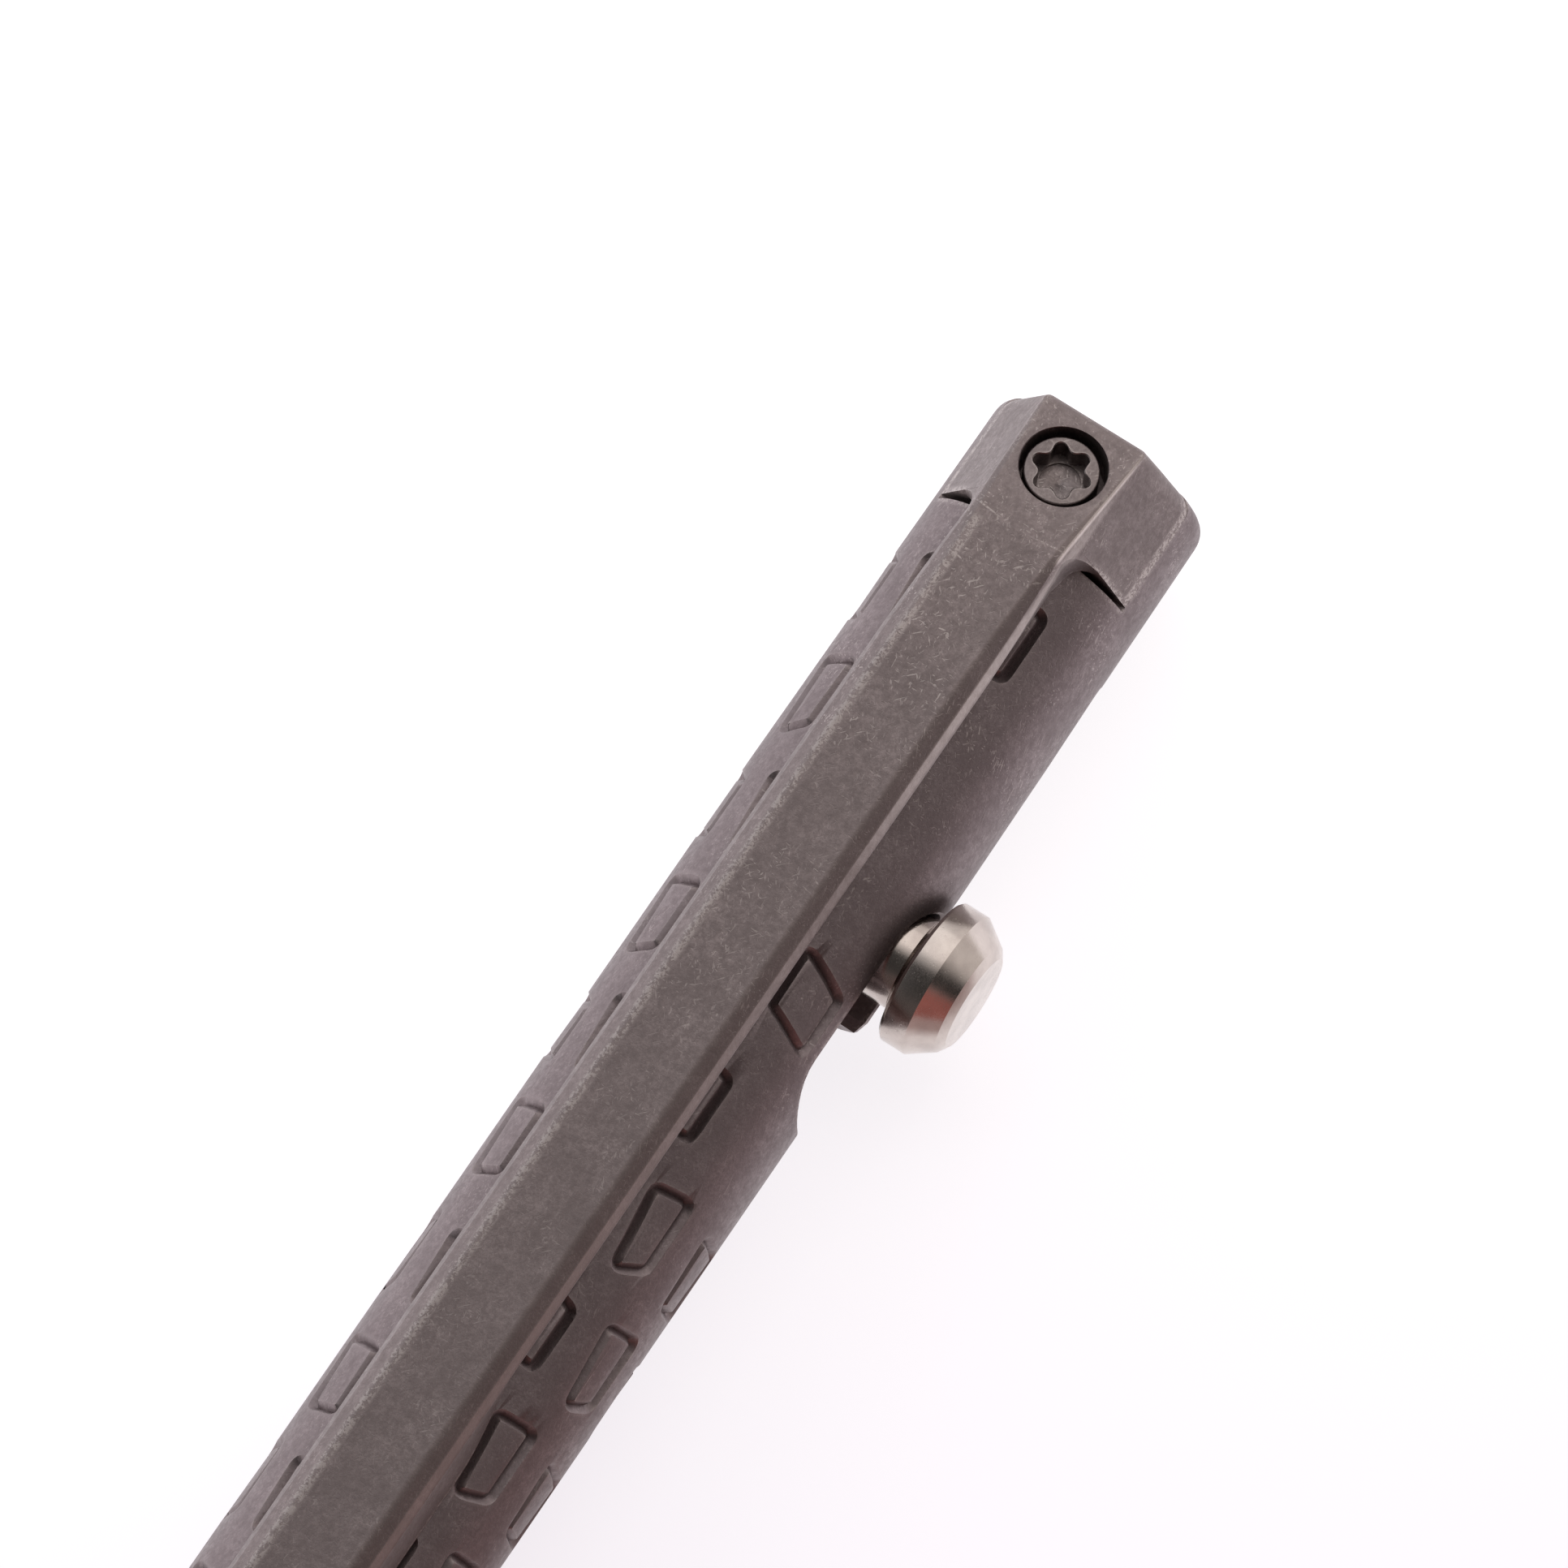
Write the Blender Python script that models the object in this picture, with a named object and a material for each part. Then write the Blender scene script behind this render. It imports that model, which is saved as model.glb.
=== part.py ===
"""A bolt action pen of bare titanium, drawn at its real size in metres.

The pen lies along X. The origin is the centre of its flat rear end, +X runs to
the writing tip, +Y is the side that the bolt stands out of, and +Z is the side
of the clip. The bolt is drawn in its rear place, with the point drawn in.
"""

import math

import bmesh
import bpy
from mathutils import Matrix, Vector

MM = 0.001
DEGREE = math.pi / 180
FULL_TURN = 2 * math.pi

# Driving dimensions of the whole pen
BARREL_DIAMETER = 11.0 * MM
BORE_DIAMETER = 6.6 * MM
NOSE_LENGTH = 27.5 * MM
BOLT_TRAVEL = 6.35 * MM
REFILL_LENGTH = 98.4 * MM
TIP_DRAWN_IN = 3.75 * MM

# Clearances between pieces
SEAT_GAP = 0.1 * MM
RUN_GAP = 0.1 * MM
SMALL_GAP = 0.05 * MM
OVERRUN = 2.0 * MM

# Barrel
REAR_TAPER = 0.3 * MM
TAPER_LENGTH = 20.0 * MM
REAR_EDGE_ROUND = 1.0 * MM
BORE_START = 10.4 * MM
BARREL_MOUTH_CHAMFER = 0.25 * MM

# Bolt and the slot that guides it
STEM_DIAMETER = 4.5 * MM
SLOT_CLEARANCE = 0.15 * MM
SLOT_START = 21.25 * MM
LOCK_TURN = 35 * DEGREE
LOCK_NOTCH_LENGTH = 5.4 * MM
NOTCH_CORNER = 0.5 * MM
STUD_DIAMETER = 2.6 * MM
STUD_DEPTH = 1.7 * MM
KNOB_DIAMETER = 7.0 * MM
KNOB_RIM = 1.3 * MM
KNOB_CONE = 1.15 * MM
KNOB_CONE_STEP = 0.8 * MM
KNOB_CHAMFER = 0.3 * MM
KNOB_GAP = 0.5 * MM

# Plunger and its two sealing rings
PLUNGER_OVERHANG = 3.3 * MM
PLUNGER_RING_SECTION = 1.0 * MM
GROOVE_DEPTH_SHARE = 0.85
RING_THICKNESS_SHARE = 0.8
PLUNGER_EDGE = 0.3 * MM

# Clip, from its head at the rear to its foot
SEAT_HEIGHT = 2.4 * MM
HEAD_LENGTH = 5.7 * MM
HEAD_TOP_REAR = 6.7 * MM
HEAD_TOP_HALF = 2.5 * MM
HEAD_END_ROUND = 0.5 * MM
BEND_X = 6.5 * MM
BEND_HEIGHT = 7.95 * MM
ARM_HEIGHT = 8.2 * MM
ARM_RISE_LENGTH = 7.5 * MM
ARM_HALF_WIDTH = 2.5 * MM
ARM_CHAMFER_WIDTH = 0.68 * MM
ARM_CHAMFER_DEPTH = 0.52 * MM
ARM_FILLET = 1.2 * MM
POCKET_GAP = 0.45 * MM
FOOT_START = 50.5 * MM
FOOT_FULL = 55.5 * MM
FOOT_HALF_WIDTH = 2.9 * MM
FOOT_GAP = 0.15 * MM
CLIP_LENGTH = 68.0 * MM
CLIP_END_LENGTH = 3.0 * MM
CLIP_LEAD_LENGTH = 5.0 * MM
CLIP_LEAD_RISE = 1.0 * MM
CLIP_END_SHARE = 0.8

# Clip screw
SCREW_X = 3.0 * MM
SCREW_HEAD_DIAMETER = 3.3 * MM
SCREW_HEAD_HEIGHT = 1.8 * MM
SCREW_RECESS = 0.35 * MM
COUNTERBORE_DIAMETER = 3.95 * MM
SCREW_SHANK_DIAMETER = 2.4 * MM
SCREW_ENGAGEMENT = 4.0 * MM
SOCKET_OUTER_DIAMETER = 2.74 * MM
SOCKET_INNER_DIAMETER = 1.97 * MM
SOCKET_DEPTH = 1.2 * MM
SOCKET_LOBES = 6

# Refill
REFILL_TUBE_DIAMETER = 5.8 * MM
REFILL_WALL = 0.4 * MM
REFILL_TIP_LENGTH = 15.4 * MM
REFILL_NECK_WALL = 1.2 * MM
PLUG_FLANGE = 1.6 * MM
PLUG_SPIGOT = 3.0 * MM
EMPTY_LENGTH = 17.7 * MM
GREASE_LENGTH = 3.0 * MM
TIP_SPIGOT_DIAMETER = 3.2 * MM
TIP_STEM_DIAMETER = 2.4 * MM
TIP_CHANNEL_DIAMETER = 0.6 * MM
POINT_LENGTH = 3.8 * MM
POINT_SPIGOT = 1.5 * MM
POINT_SPIGOT_DIAMETER = 1.5 * MM
POINT_DIAMETER = 2.1 * MM
POINT_MOUTH_DIAMETER = 1.05 * MM
POINT_LIP = 0.2 * MM
BALL_DIAMETER = 0.7 * MM

# Nose cone and its thread spigot
SPIGOT_DIAMETER = 8.6 * MM
SPIGOT_LENGTH = 8.0 * MM
NOSE_BAND = 3.0 * MM
NOSE_TIP_DIAMETER = 4.2 * MM
NOSE_TIP_BORE = 2.8 * MM
NOSE_TIP_ROUND = 0.3 * MM
NOSE_CURVE_POWER = 1.7
NOSE_CURVE_STEPS = 12
NOSE_RING_SECTION = 1.0 * MM
NOSE_RING_INSET = 1.3 * MM
SPRING_BORE_DIAMETER = 4.9 * MM

# Return spring
SPRING_DIAMETER = 4.4 * MM
SPRING_WIRE = 0.45 * MM
SPRING_LENGTH = 11.0 * MM
SPRING_CURLS = 7
POINTS_PER_CURL = 10

# Milled pockets of the grip
POCKET_DEPTH = 0.42 * MM
POCKET_PITCH = 6.0 * MM
POCKET_LONG = 4.8 * MM
POCKET_WIDE = 3.5 * MM
POCKET_SKEW = 1.2 * MM
POCKET_FIRST = 10.5 * MM
POCKET_FRONT_MARGIN = 5.0 * MM
POCKET_COLUMNS = 8
POCKET_TURN = -6 * DEGREE
SMOOTH_MARGIN = 3.0 * MM
SMOOTH_SIDE = 2.4 * MM
SMOOTH_WIDE = 4.8 * MM
SMOOTH_REAR = 9.25 * MM
POCKET_LEAST_SHARE = 0.36
POCKET_SPREAD_SHARE = 0.12
GOLDEN_SHARE = 0.618034

# Fineness of the round pieces
BARREL_SIDES = 64
ROUND_SIDES = 40
SMALL_SIDES = 24
RING_SIDES = 8
ARC_STEPS = 5
MERGE_DISTANCE = 0.001 * MM
SMOOTH_ANGLE = 32 * DEGREE

# Sizes that follow from the ones above
BARREL_RADIUS = BARREL_DIAMETER / 2
REAR_RADIUS = BARREL_RADIUS - REAR_TAPER / 2
BORE_RADIUS = BORE_DIAMETER / 2
STEM_RADIUS = STEM_DIAMETER / 2
SLOT_HALF = STEM_RADIUS + SLOT_CLEARANCE
BOLT_X = SLOT_START + SLOT_HALF + SMALL_GAP
SLOT_END = BOLT_X + BOLT_TRAVEL + SLOT_HALF + SMALL_GAP
NOTCH_START = SLOT_END - LOCK_NOTCH_LENGTH
PLUNGER_RADIUS = BORE_RADIUS - RUN_GAP
PLUNGER_START = SLOT_START - BOLT_TRAVEL - PLUNGER_OVERHANG
PLUNGER_END = SLOT_END + PLUNGER_OVERHANG
REFILL_START = PLUNGER_END + SMALL_GAP
REFILL_SHOULDER = REFILL_LENGTH - REFILL_TIP_LENGTH
REFILL_RADIUS = REFILL_TUBE_DIAMETER / 2
REFILL_INNER_RADIUS = REFILL_RADIUS - REFILL_WALL
SPRING_START = REFILL_START + REFILL_SHOULDER + SEAT_GAP
SPRING_SEAT = SPRING_START + SPRING_LENGTH + SEAT_GAP
PEN_LENGTH = REFILL_START + REFILL_LENGTH + TIP_DRAWN_IN
BARREL_LENGTH = PEN_LENGTH - NOSE_LENGTH
BALL_CENTRE = REFILL_START + REFILL_LENGTH - BALL_DIAMETER / 2


def clear_scene():
    """Removes what the scene held before."""
    for old in list(bpy.data.objects):
        bpy.data.objects.remove(old, do_unlink=True)


def finish(name, colour, roughness, metallic):
    """Makes a material from a plain colour, a roughness and a metallic value."""
    made = bpy.data.materials.new(name)
    made.use_nodes = True
    shader = made.node_tree.nodes["Principled BSDF"]
    shader.inputs["Base Color"].default_value = (*colour, 1)
    shader.inputs["Roughness"].default_value = roughness
    shader.inputs["Metallic"].default_value = metallic
    made.diffuse_color = (*colour, 1)
    return made


def make_finishes():
    """Every material of the pen, by its plain name."""
    return {
        "titanium": finish("stonewashed_titanium", (0.32, 0.29, 0.28), 0.5, 1),
        "polished": finish("polished_titanium", (0.62, 0.58, 0.54), 0.22, 1),
        "screw": finish("screw_steel", (0.36, 0.33, 0.31), 0.42, 1),
        "spring": finish("spring_steel", (0.6, 0.6, 0.6), 0.3, 1),
        "rubber": finish("seal_rubber", (0.02, 0.02, 0.02), 0.7, 0),
        "tube": finish("refill_steel", (0.55, 0.55, 0.56), 0.3, 1),
        "plastic": finish("plug_plastic", (0.05, 0.05, 0.06), 0.45, 0),
        "ink": finish("ink", (0.01, 0.01, 0.015), 0.25, 0),
        "grease": finish("clear_grease", (0.7, 0.68, 0.55), 0.3, 0),
        "brass": finish("tip_brass", (0.72, 0.55, 0.27), 0.3, 1),
        "carbide": finish("ball_carbide", (0.25, 0.25, 0.26), 0.15, 1),
    }


def add_object(name, bm, material=None, at=(0, 0, 0), parent=None, tilt=0):
    """Turns a bmesh into an object at a place in the pen's frame, tilted about Y."""
    bmesh.ops.remove_doubles(bm, verts=bm.verts, dist=MERGE_DISTANCE)
    bmesh.ops.recalc_face_normals(bm, faces=bm.faces)
    mesh = bpy.data.meshes.new(name)
    bm.to_mesh(mesh)
    bm.free()
    made = bpy.data.objects.new(name, mesh)
    bpy.context.scene.collection.objects.link(made)
    base = parent.location if parent else Vector((0, 0, 0))
    made.parent = parent
    made.location = Vector(at) - base
    made.rotation_euler.y = tilt
    if material:
        mesh.materials.append(material)
        mesh.shade_smooth()
        mesh.set_sharp_from_angle(angle=SMOOTH_ANGLE)
    return made


def on_axis(axis, along, radius):
    """A point at a distance along an axis and a radius out from it."""
    if axis == "X":
        return Vector((along, 0, radius))
    if axis == "Y":
        return Vector((0, along, radius))
    return Vector((radius, 0, along))


def turned(profile, sides, axis="X"):
    """A bmesh turned from a profile of (along, radius) points round an axis.

    The profile is a closed loop, or a chain whose two ends lie on the axis.
    """
    bm = bmesh.new()
    ring = [bm.verts.new(on_axis(axis, *point)) for point in profile]
    chain = [bm.edges.new(pair) for pair in zip(ring, ring[1:])]
    if profile[0][1] > 0:
        chain.append(bm.edges.new((ring[-1], ring[0])))
    direction = on_axis(axis, 1, 0)
    bmesh.ops.spin(
        bm, geom=ring + chain, cent=(0, 0, 0), axis=direction,
        angle=FULL_TURN, steps=sides, use_merge=True,
    )
    return bm


def arc(centre, radius, start, end, steps=ARC_STEPS):
    """Points of an arc round a centre, from one angle to another."""
    points = []
    for step in range(steps + 1):
        angle = start + (end - start) * step / steps
        points.append((centre[0] + radius * math.cos(angle), centre[1] + radius * math.sin(angle)))
    return points


def prism(outline, low, high, place):
    """A bmesh of an outline raised between two heights.

    place turns (u, v, height) into a point.
    """
    bm = bmesh.new()
    bottom = [bm.verts.new(place(u, v, low)) for u, v in outline]
    top = [bm.verts.new(place(u, v, high)) for u, v in outline]
    count = len(outline)
    bm.faces.new(list(reversed(bottom)))
    bm.faces.new(top)
    for index in range(count):
        after = (index + 1) % count
        bm.faces.new((bottom[index], bottom[after], top[after], top[index]))
    return bm


def loft(rings):
    """A bmesh skin over rings of as many points each, closed at both ends."""
    bm = bmesh.new()
    made = [[bm.verts.new(point) for point in ring] for ring in rings]
    count = len(rings[0])
    bm.faces.new(list(reversed(made[0])))
    bm.faces.new(made[-1])
    for near, far in zip(made, made[1:]):
        for index in range(count):
            after = (index + 1) % count
            bm.faces.new((near[index], near[after], far[after], far[index]))
    return bm


def combine(target, other, operation="DIFFERENCE"):
    """Cuts a helper out of an object, or joins it to the object."""
    other.hide_render = True
    other.display_type = "WIRE"
    modifier = target.modifiers.new(other.name, "BOOLEAN")
    modifier.operation = operation
    modifier.solver = "EXACT"
    modifier.object = other


def barrel_radius_at(x):
    """The barrel's outer radius at a distance from its rear end."""
    share = min(max(x / TAPER_LENGTH, 0), 1)
    return REAR_RADIUS + (BARREL_RADIUS - REAR_RADIUS) * share


def barrel_blank():
    """The turned barrel: rounded rear end, blind bore, and the nose's socket in front."""
    socket_radius = SPIGOT_DIAMETER / 2 + RUN_GAP
    ring_radius = socket_radius + NOSE_RING_SECTION / 2
    socket_start = BARREL_LENGTH - SPIGOT_LENGTH - SEAT_GAP
    ring_start = BARREL_LENGTH - 2 * NOSE_RING_INSET
    rear_corner = (REAR_EDGE_ROUND, REAR_RADIUS - REAR_EDGE_ROUND)
    quarter = math.pi / 2
    profile = [(0, 0)]
    profile += arc(rear_corner, REAR_EDGE_ROUND, 2 * quarter, quarter)
    profile += [
        (TAPER_LENGTH, BARREL_RADIUS),
        (BARREL_LENGTH - BARREL_MOUTH_CHAMFER, BARREL_RADIUS),
        (BARREL_LENGTH, BARREL_RADIUS - BARREL_MOUTH_CHAMFER),
        (BARREL_LENGTH, ring_radius),
        (ring_start, ring_radius),
        (ring_start, socket_radius),
        (socket_start, socket_radius),
        (socket_start, BORE_RADIUS),
        (BORE_START, BORE_RADIUS),
        (BORE_START, 0),
    ]
    return turned(profile, BARREL_SIDES)


def slot_outline():
    """The bolt's straight slot: round at both ends, as (x, z) points."""
    quarter = math.pi / 2
    rear = arc((SLOT_START + SLOT_HALF, 0), SLOT_HALF, quarter, 3 * quarter, 2 * ARC_STEPS)
    front = arc((SLOT_END - SLOT_HALF, 0), SLOT_HALF, -quarter, quarter, 2 * ARC_STEPS)
    return rear + front


def notch_outline():
    """The lock notch at the slot's front end, with small round corners."""
    quarter = math.pi / 2
    low, high = NOTCH_START, SLOT_END
    inset = SLOT_HALF - NOTCH_CORNER
    points = arc((low + NOTCH_CORNER, inset), NOTCH_CORNER, quarter, 2 * quarter)
    points += arc((low + NOTCH_CORNER, -inset), NOTCH_CORNER, 2 * quarter, 3 * quarter)
    points += arc((high - SLOT_HALF, 0), SLOT_HALF, -quarter, quarter, 2 * ARC_STEPS)
    return points


def turned_about_x(angle):
    """A placing of (x, across, out) points, turned about the pen's axis from the bolt side."""
    turn = Matrix.Rotation(angle, 3, "X")
    return lambda u, v, out: turn @ Vector((u, out, v))


def cut_bolt_way(barrel):
    """Mills the slot and the lock notch, which turns away from the clip."""
    outside = BARREL_RADIUS + OVERRUN
    slot = add_object("cut_slot", prism(slot_outline(), 0, outside, turned_about_x(0)))
    combine(barrel, slot)
    steps = 3
    for step in range(1, steps + 1):
        place = turned_about_x(-LOCK_TURN * step / steps)
        name = f"cut_notch_{step}"
        notch = add_object(name, prism(notch_outline(), 0, outside, place))
        combine(barrel, notch)


def cut_clip_seat(barrel):
    """Mills the flat that the clip's head sits on, and the screw's hole."""
    side = BARREL_RADIUS + OVERRUN
    outline = [
        (-OVERRUN, -side), (HEAD_LENGTH + SEAT_GAP, -side),
        (HEAD_LENGTH + SEAT_GAP, side), (-OVERRUN, side),
    ]
    flat = prism(outline, SEAT_HEIGHT, side, lambda u, v, w: Vector((u, v, w)))
    combine(barrel, add_object("cut_seat", flat))
    radius = SCREW_SHANK_DIAMETER / 2 + SEAT_GAP
    bottom = -screw_depth() - 2 * SEAT_GAP
    hole = turned([(bottom, 0), (bottom, radius), (side, radius), (side, 0)], SMALL_SIDES, "Z")
    combine(barrel, add_object("cut_screw_hole", hole, at=screw_place(), tilt=-ramp_angle()))


def pocket_quad(index):
    """The four corners of one pocket as (along, round) offsets from its centre.

    A golden-ratio step gives each pocket its own size and slant.
    """
    first = (index * GOLDEN_SHARE) % 1
    second = (index * GOLDEN_SHARE * GOLDEN_SHARE) % 1
    half_long = POCKET_LONG * (POCKET_LEAST_SHARE + POCKET_SPREAD_SHARE * first)
    half_wide = POCKET_WIDE * (POCKET_LEAST_SHARE + POCKET_SPREAD_SHARE * second)
    slant = POCKET_SKEW * (second - first) / 2
    pinch = POCKET_SKEW * first / 2
    return [
        (-half_long - slant, -half_wide),
        (half_long - slant, -half_wide + pinch),
        (half_long + slant, half_wide),
        (-half_long + slant + pinch, half_wide),
    ]


def near_bolt_way(x, angle):
    """Whether a pocket would come into the smooth zone round the slot, wider at its rear."""
    along = SLOT_START - SMOOTH_REAR < x < SLOT_END + SMOOTH_MARGIN
    spare = (SLOT_HALF + (SMOOTH_WIDE if x < BOLT_X else SMOOTH_SIDE)) / BARREL_RADIUS
    return along and math.pi / 2 - spare < angle < math.pi / 2 + LOCK_TURN + spare


def pocket_places():
    """Yields (index, x, angle from the clip round to the bolt) for each pocket."""
    index = 0
    row = 0
    x = POCKET_FIRST
    while x < BARREL_LENGTH - SPIGOT_LENGTH - POCKET_FRONT_MARGIN:
        for column in range(POCKET_COLUMNS):
            shift = (row + 1) % 2 / 2
            wander = ((index * GOLDEN_SHARE) % 1 - 1 / 2) * (POCKET_PITCH - POCKET_LONG) / 2
            angle = FULL_TURN * (column + shift) / POCKET_COLUMNS + POCKET_TURN
            index += 1
            if not near_bolt_way(x, angle):
                yield index, x + wander, angle
        row += 1
        x += POCKET_PITCH


def cut_pockets(barrel):
    """Mills the shallow four-sided pockets, each with a flat floor."""
    bm = bmesh.new()
    for index, x, angle in pocket_places():
        floor = barrel_radius_at(x) - POCKET_DEPTH
        turn = Matrix.Rotation(-angle, 3, "X")
        outline = [(x + u, v) for u, v in pocket_quad(index)]
        block = prism(outline, floor, BARREL_RADIUS + OVERRUN, lambda u, v, w, t=turn: t @ Vector((u, v, w)))
        mesh = bpy.data.meshes.new("pocket")
        block.to_mesh(mesh)
        block.free()
        bm.from_mesh(mesh)
        bpy.data.meshes.remove(mesh)
    combine(barrel, add_object("cut_pockets", bm))


def make_barrel(finishes):
    """The barrel with its slot, seat and pockets."""
    barrel = add_object("barrel", barrel_blank(), finishes["titanium"])
    cut_clip_seat(barrel)
    cut_bolt_way(barrel)
    cut_pockets(barrel)
    return barrel


def head_base_half():
    """Half the width of the barrel's flat, where the head's side facets end."""
    return math.sqrt(REAR_RADIUS**2 - SEAT_HEIGHT**2)


def facet_half_at(height):
    """Half the head's width at a height: its side facets are flat."""
    slope = (HEAD_TOP_HALF - head_base_half()) / (HEAD_TOP_REAR - SEAT_HEIGHT)
    return head_base_half() + slope * (height - SEAT_HEIGHT)


def facet_height_at(half):
    """The height at which a side facet reaches a half width."""
    slope = (HEAD_TOP_REAR - SEAT_HEIGHT) / (HEAD_TOP_HALF - head_base_half())
    return SEAT_HEIGHT + slope * (half - head_base_half())


def top_height_at(x):
    """The height of the clip's top: a ramp over the head, then a slow rise along the arm."""
    if x <= BEND_X:
        return HEAD_TOP_REAR + (BEND_HEIGHT - HEAD_TOP_REAR) * x / BEND_X
    share = min((x - BEND_X) / ARM_RISE_LENGTH, 1)
    return BEND_HEIGHT + (ARM_HEIGHT - BEND_HEIGHT) * share


def edge_half_at(x):
    """Half the width of the clip's top, between its facets, up to the bend and past it."""
    return facet_half_at(min(top_height_at(x), BEND_HEIGHT))


def section(x, side, under):
    """One ring of the clip from the corners of its side, bottom to top, and its underside."""
    half = side[0][0] / 2
    left = [(-y, z) for y, z in reversed(side)]
    below = [(-half, under(half)), (0, under(0)), (half, under(half))]
    return [Vector((x, y, z)) for y, z in list(side) + left + below]


def saddle(gap):
    """A function of y that gives the height of the barrel's top plus a gap."""
    radius = BARREL_RADIUS + gap
    return lambda y: math.sqrt(radius**2 - y**2)


def head_section(x, inset=0):
    """A ring of the clip's head, which sits on the barrel's flat."""
    top_z = top_height_at(x)
    base_z = SEAT_HEIGHT + SEAT_GAP
    top_half = edge_half_at(x)
    side = [facet_half_at(base_z), ARM_HALF_WIDTH + ARM_FILLET, top_half + SMALL_GAP]
    corners = [(half - inset, facet_height_at(half)) for half in side]
    corners.append((top_half - inset, top_z - inset))
    return section(x, corners, lambda y: base_z)


def fillet_section(x, half):
    """A ring where the head's front runs into the arm in a round corner."""
    under = saddle(SEAT_GAP)
    top_z = top_height_at(x)
    top_half = edge_half_at(x)
    shoulder = top_half + SMALL_GAP
    side = [
        (half, under(half)), (half, facet_height_at(half)),
        (shoulder, facet_height_at(shoulder)), (top_half, top_z),
    ]
    return section(x, side, under)


def arm_section(x, half=ARM_HALF_WIDTH, base_half=ARM_HALF_WIDTH, lift=0, blend=0):
    """A ring of the arm; blend goes from its flat underside to the foot's saddle."""
    flat = BARREL_RADIUS + POCKET_GAP + lift
    seat = saddle(FOOT_GAP + lift)

    def under(y):
        return flat + (seat(y) - flat) * blend

    top_z = top_height_at(x)
    shoulder_z = top_z - ARM_CHAMFER_DEPTH
    side = [
        (base_half, under(base_half)), (half, shoulder_z - ARM_CHAMFER_DEPTH),
        (half, shoulder_z), (half - ARM_CHAMFER_WIDTH, top_z),
    ]
    return section(x, side, under)


def clip_rings():
    """Every ring of the clip, from the rear end to the foot's tip."""
    rings = [head_section(0, HEAD_END_ROUND), head_section(HEAD_END_ROUND), head_section(HEAD_LENGTH)]
    quarter = math.pi / 2
    for step in range(ARC_STEPS + 1):
        angle = quarter * step / ARC_STEPS
        x = HEAD_LENGTH + ARM_FILLET * (1 - math.cos(angle))
        half = ARM_HALF_WIDTH + ARM_FILLET * (1 - math.sin(angle))
        rings.append(fillet_section(x, half))
    rings.append(arm_section(BEND_X + ARM_RISE_LENGTH))
    rings.append(arm_section(FOOT_START))
    rings.append(arm_section(FOOT_FULL, base_half=FOOT_HALF_WIDTH, blend=1))
    lead = CLIP_LENGTH - CLIP_LEAD_LENGTH
    rings.append(arm_section(lead, base_half=FOOT_HALF_WIDTH, blend=1))
    for step in range(ARC_STEPS):
        share = math.sin(quarter * step / ARC_STEPS)
        x = CLIP_LENGTH - CLIP_END_LENGTH * (1 - share)
        narrow = math.sqrt(1 - share**2 * CLIP_END_SHARE)
        lift = CLIP_LEAD_RISE * (x - lead) / CLIP_LEAD_LENGTH
        rings.append(
            arm_section(x, ARM_HALF_WIDTH * narrow, FOOT_HALF_WIDTH * narrow, lift, 1)
        )
    return rings


def ramp_angle():
    """How steeply the head's top falls to the rear; the screw stands square to it."""
    return math.atan2(BEND_HEIGHT - HEAD_TOP_REAR, BEND_X)


def screw_place():
    """The middle of the screw's counterbore, on the head's top."""
    return (SCREW_X, 0, top_height_at(SCREW_X))


def screw_depth():
    """How deep the screw's end lies under the head's top, along the screw."""
    to_seat = (top_height_at(SCREW_X) - SEAT_HEIGHT) / math.cos(ramp_angle())
    return to_seat + SCREW_ENGAGEMENT


def make_clip(finishes):
    """The clip: head, arm and foot in one milled piece, with the screw's counterbore."""
    clip = add_object("clip", loft(clip_rings()), finishes["titanium"])
    floor = -SCREW_RECESS - SCREW_HEAD_HEIGHT - SEAT_GAP
    shank = SCREW_SHANK_DIAMETER / 2 + SEAT_GAP
    wide = COUNTERBORE_DIAMETER / 2
    low = -screw_depth()
    profile = [(low, 0), (low, shank), (floor, shank), (floor, wide), (OVERRUN, wide), (OVERRUN, 0)]
    cutter = turned(profile, ROUND_SIDES, "Z")
    combine(clip, add_object("cut_counterbore", cutter, at=screw_place(), tilt=-ramp_angle()))
    return clip


def socket_outline():
    """The six-lobed outline of the screw's socket."""
    middle = (SOCKET_OUTER_DIAMETER + SOCKET_INNER_DIAMETER) / 4
    swing = (SOCKET_OUTER_DIAMETER - SOCKET_INNER_DIAMETER) / 4
    points = []
    count = 2 * SMALL_SIDES
    for step in range(count):
        angle = FULL_TURN * step / count
        radius = middle + swing * math.cos(SOCKET_LOBES * angle)
        points.append((radius * math.cos(angle), radius * math.sin(angle)))
    return points


def make_clip_screw(finishes):
    """The screw that holds the clip's head to the barrel."""
    top = -SCREW_RECESS
    under = top - SCREW_HEAD_HEIGHT
    tip = -screw_depth()
    head = SCREW_HEAD_DIAMETER / 2
    shank = SCREW_SHANK_DIAMETER / 2
    edge = SEAT_GAP
    profile = [
        (top, 0), (top, head - edge), (top - edge, head), (under, head), (under, shank),
        (tip + edge, shank), (tip, shank - edge), (tip, 0),
    ]
    screw = add_object(
        "clip_screw", turned(profile, ROUND_SIDES, "Z"), finishes["screw"], screw_place(),
        tilt=-ramp_angle(),
    )
    socket = prism(
        socket_outline(), top - SOCKET_DEPTH, top + OVERRUN, lambda u, v, w: Vector((u, v, w))
    )
    combine(screw, add_object("cut_socket", socket, at=screw_place(), tilt=-ramp_angle()))
    return screw


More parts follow.
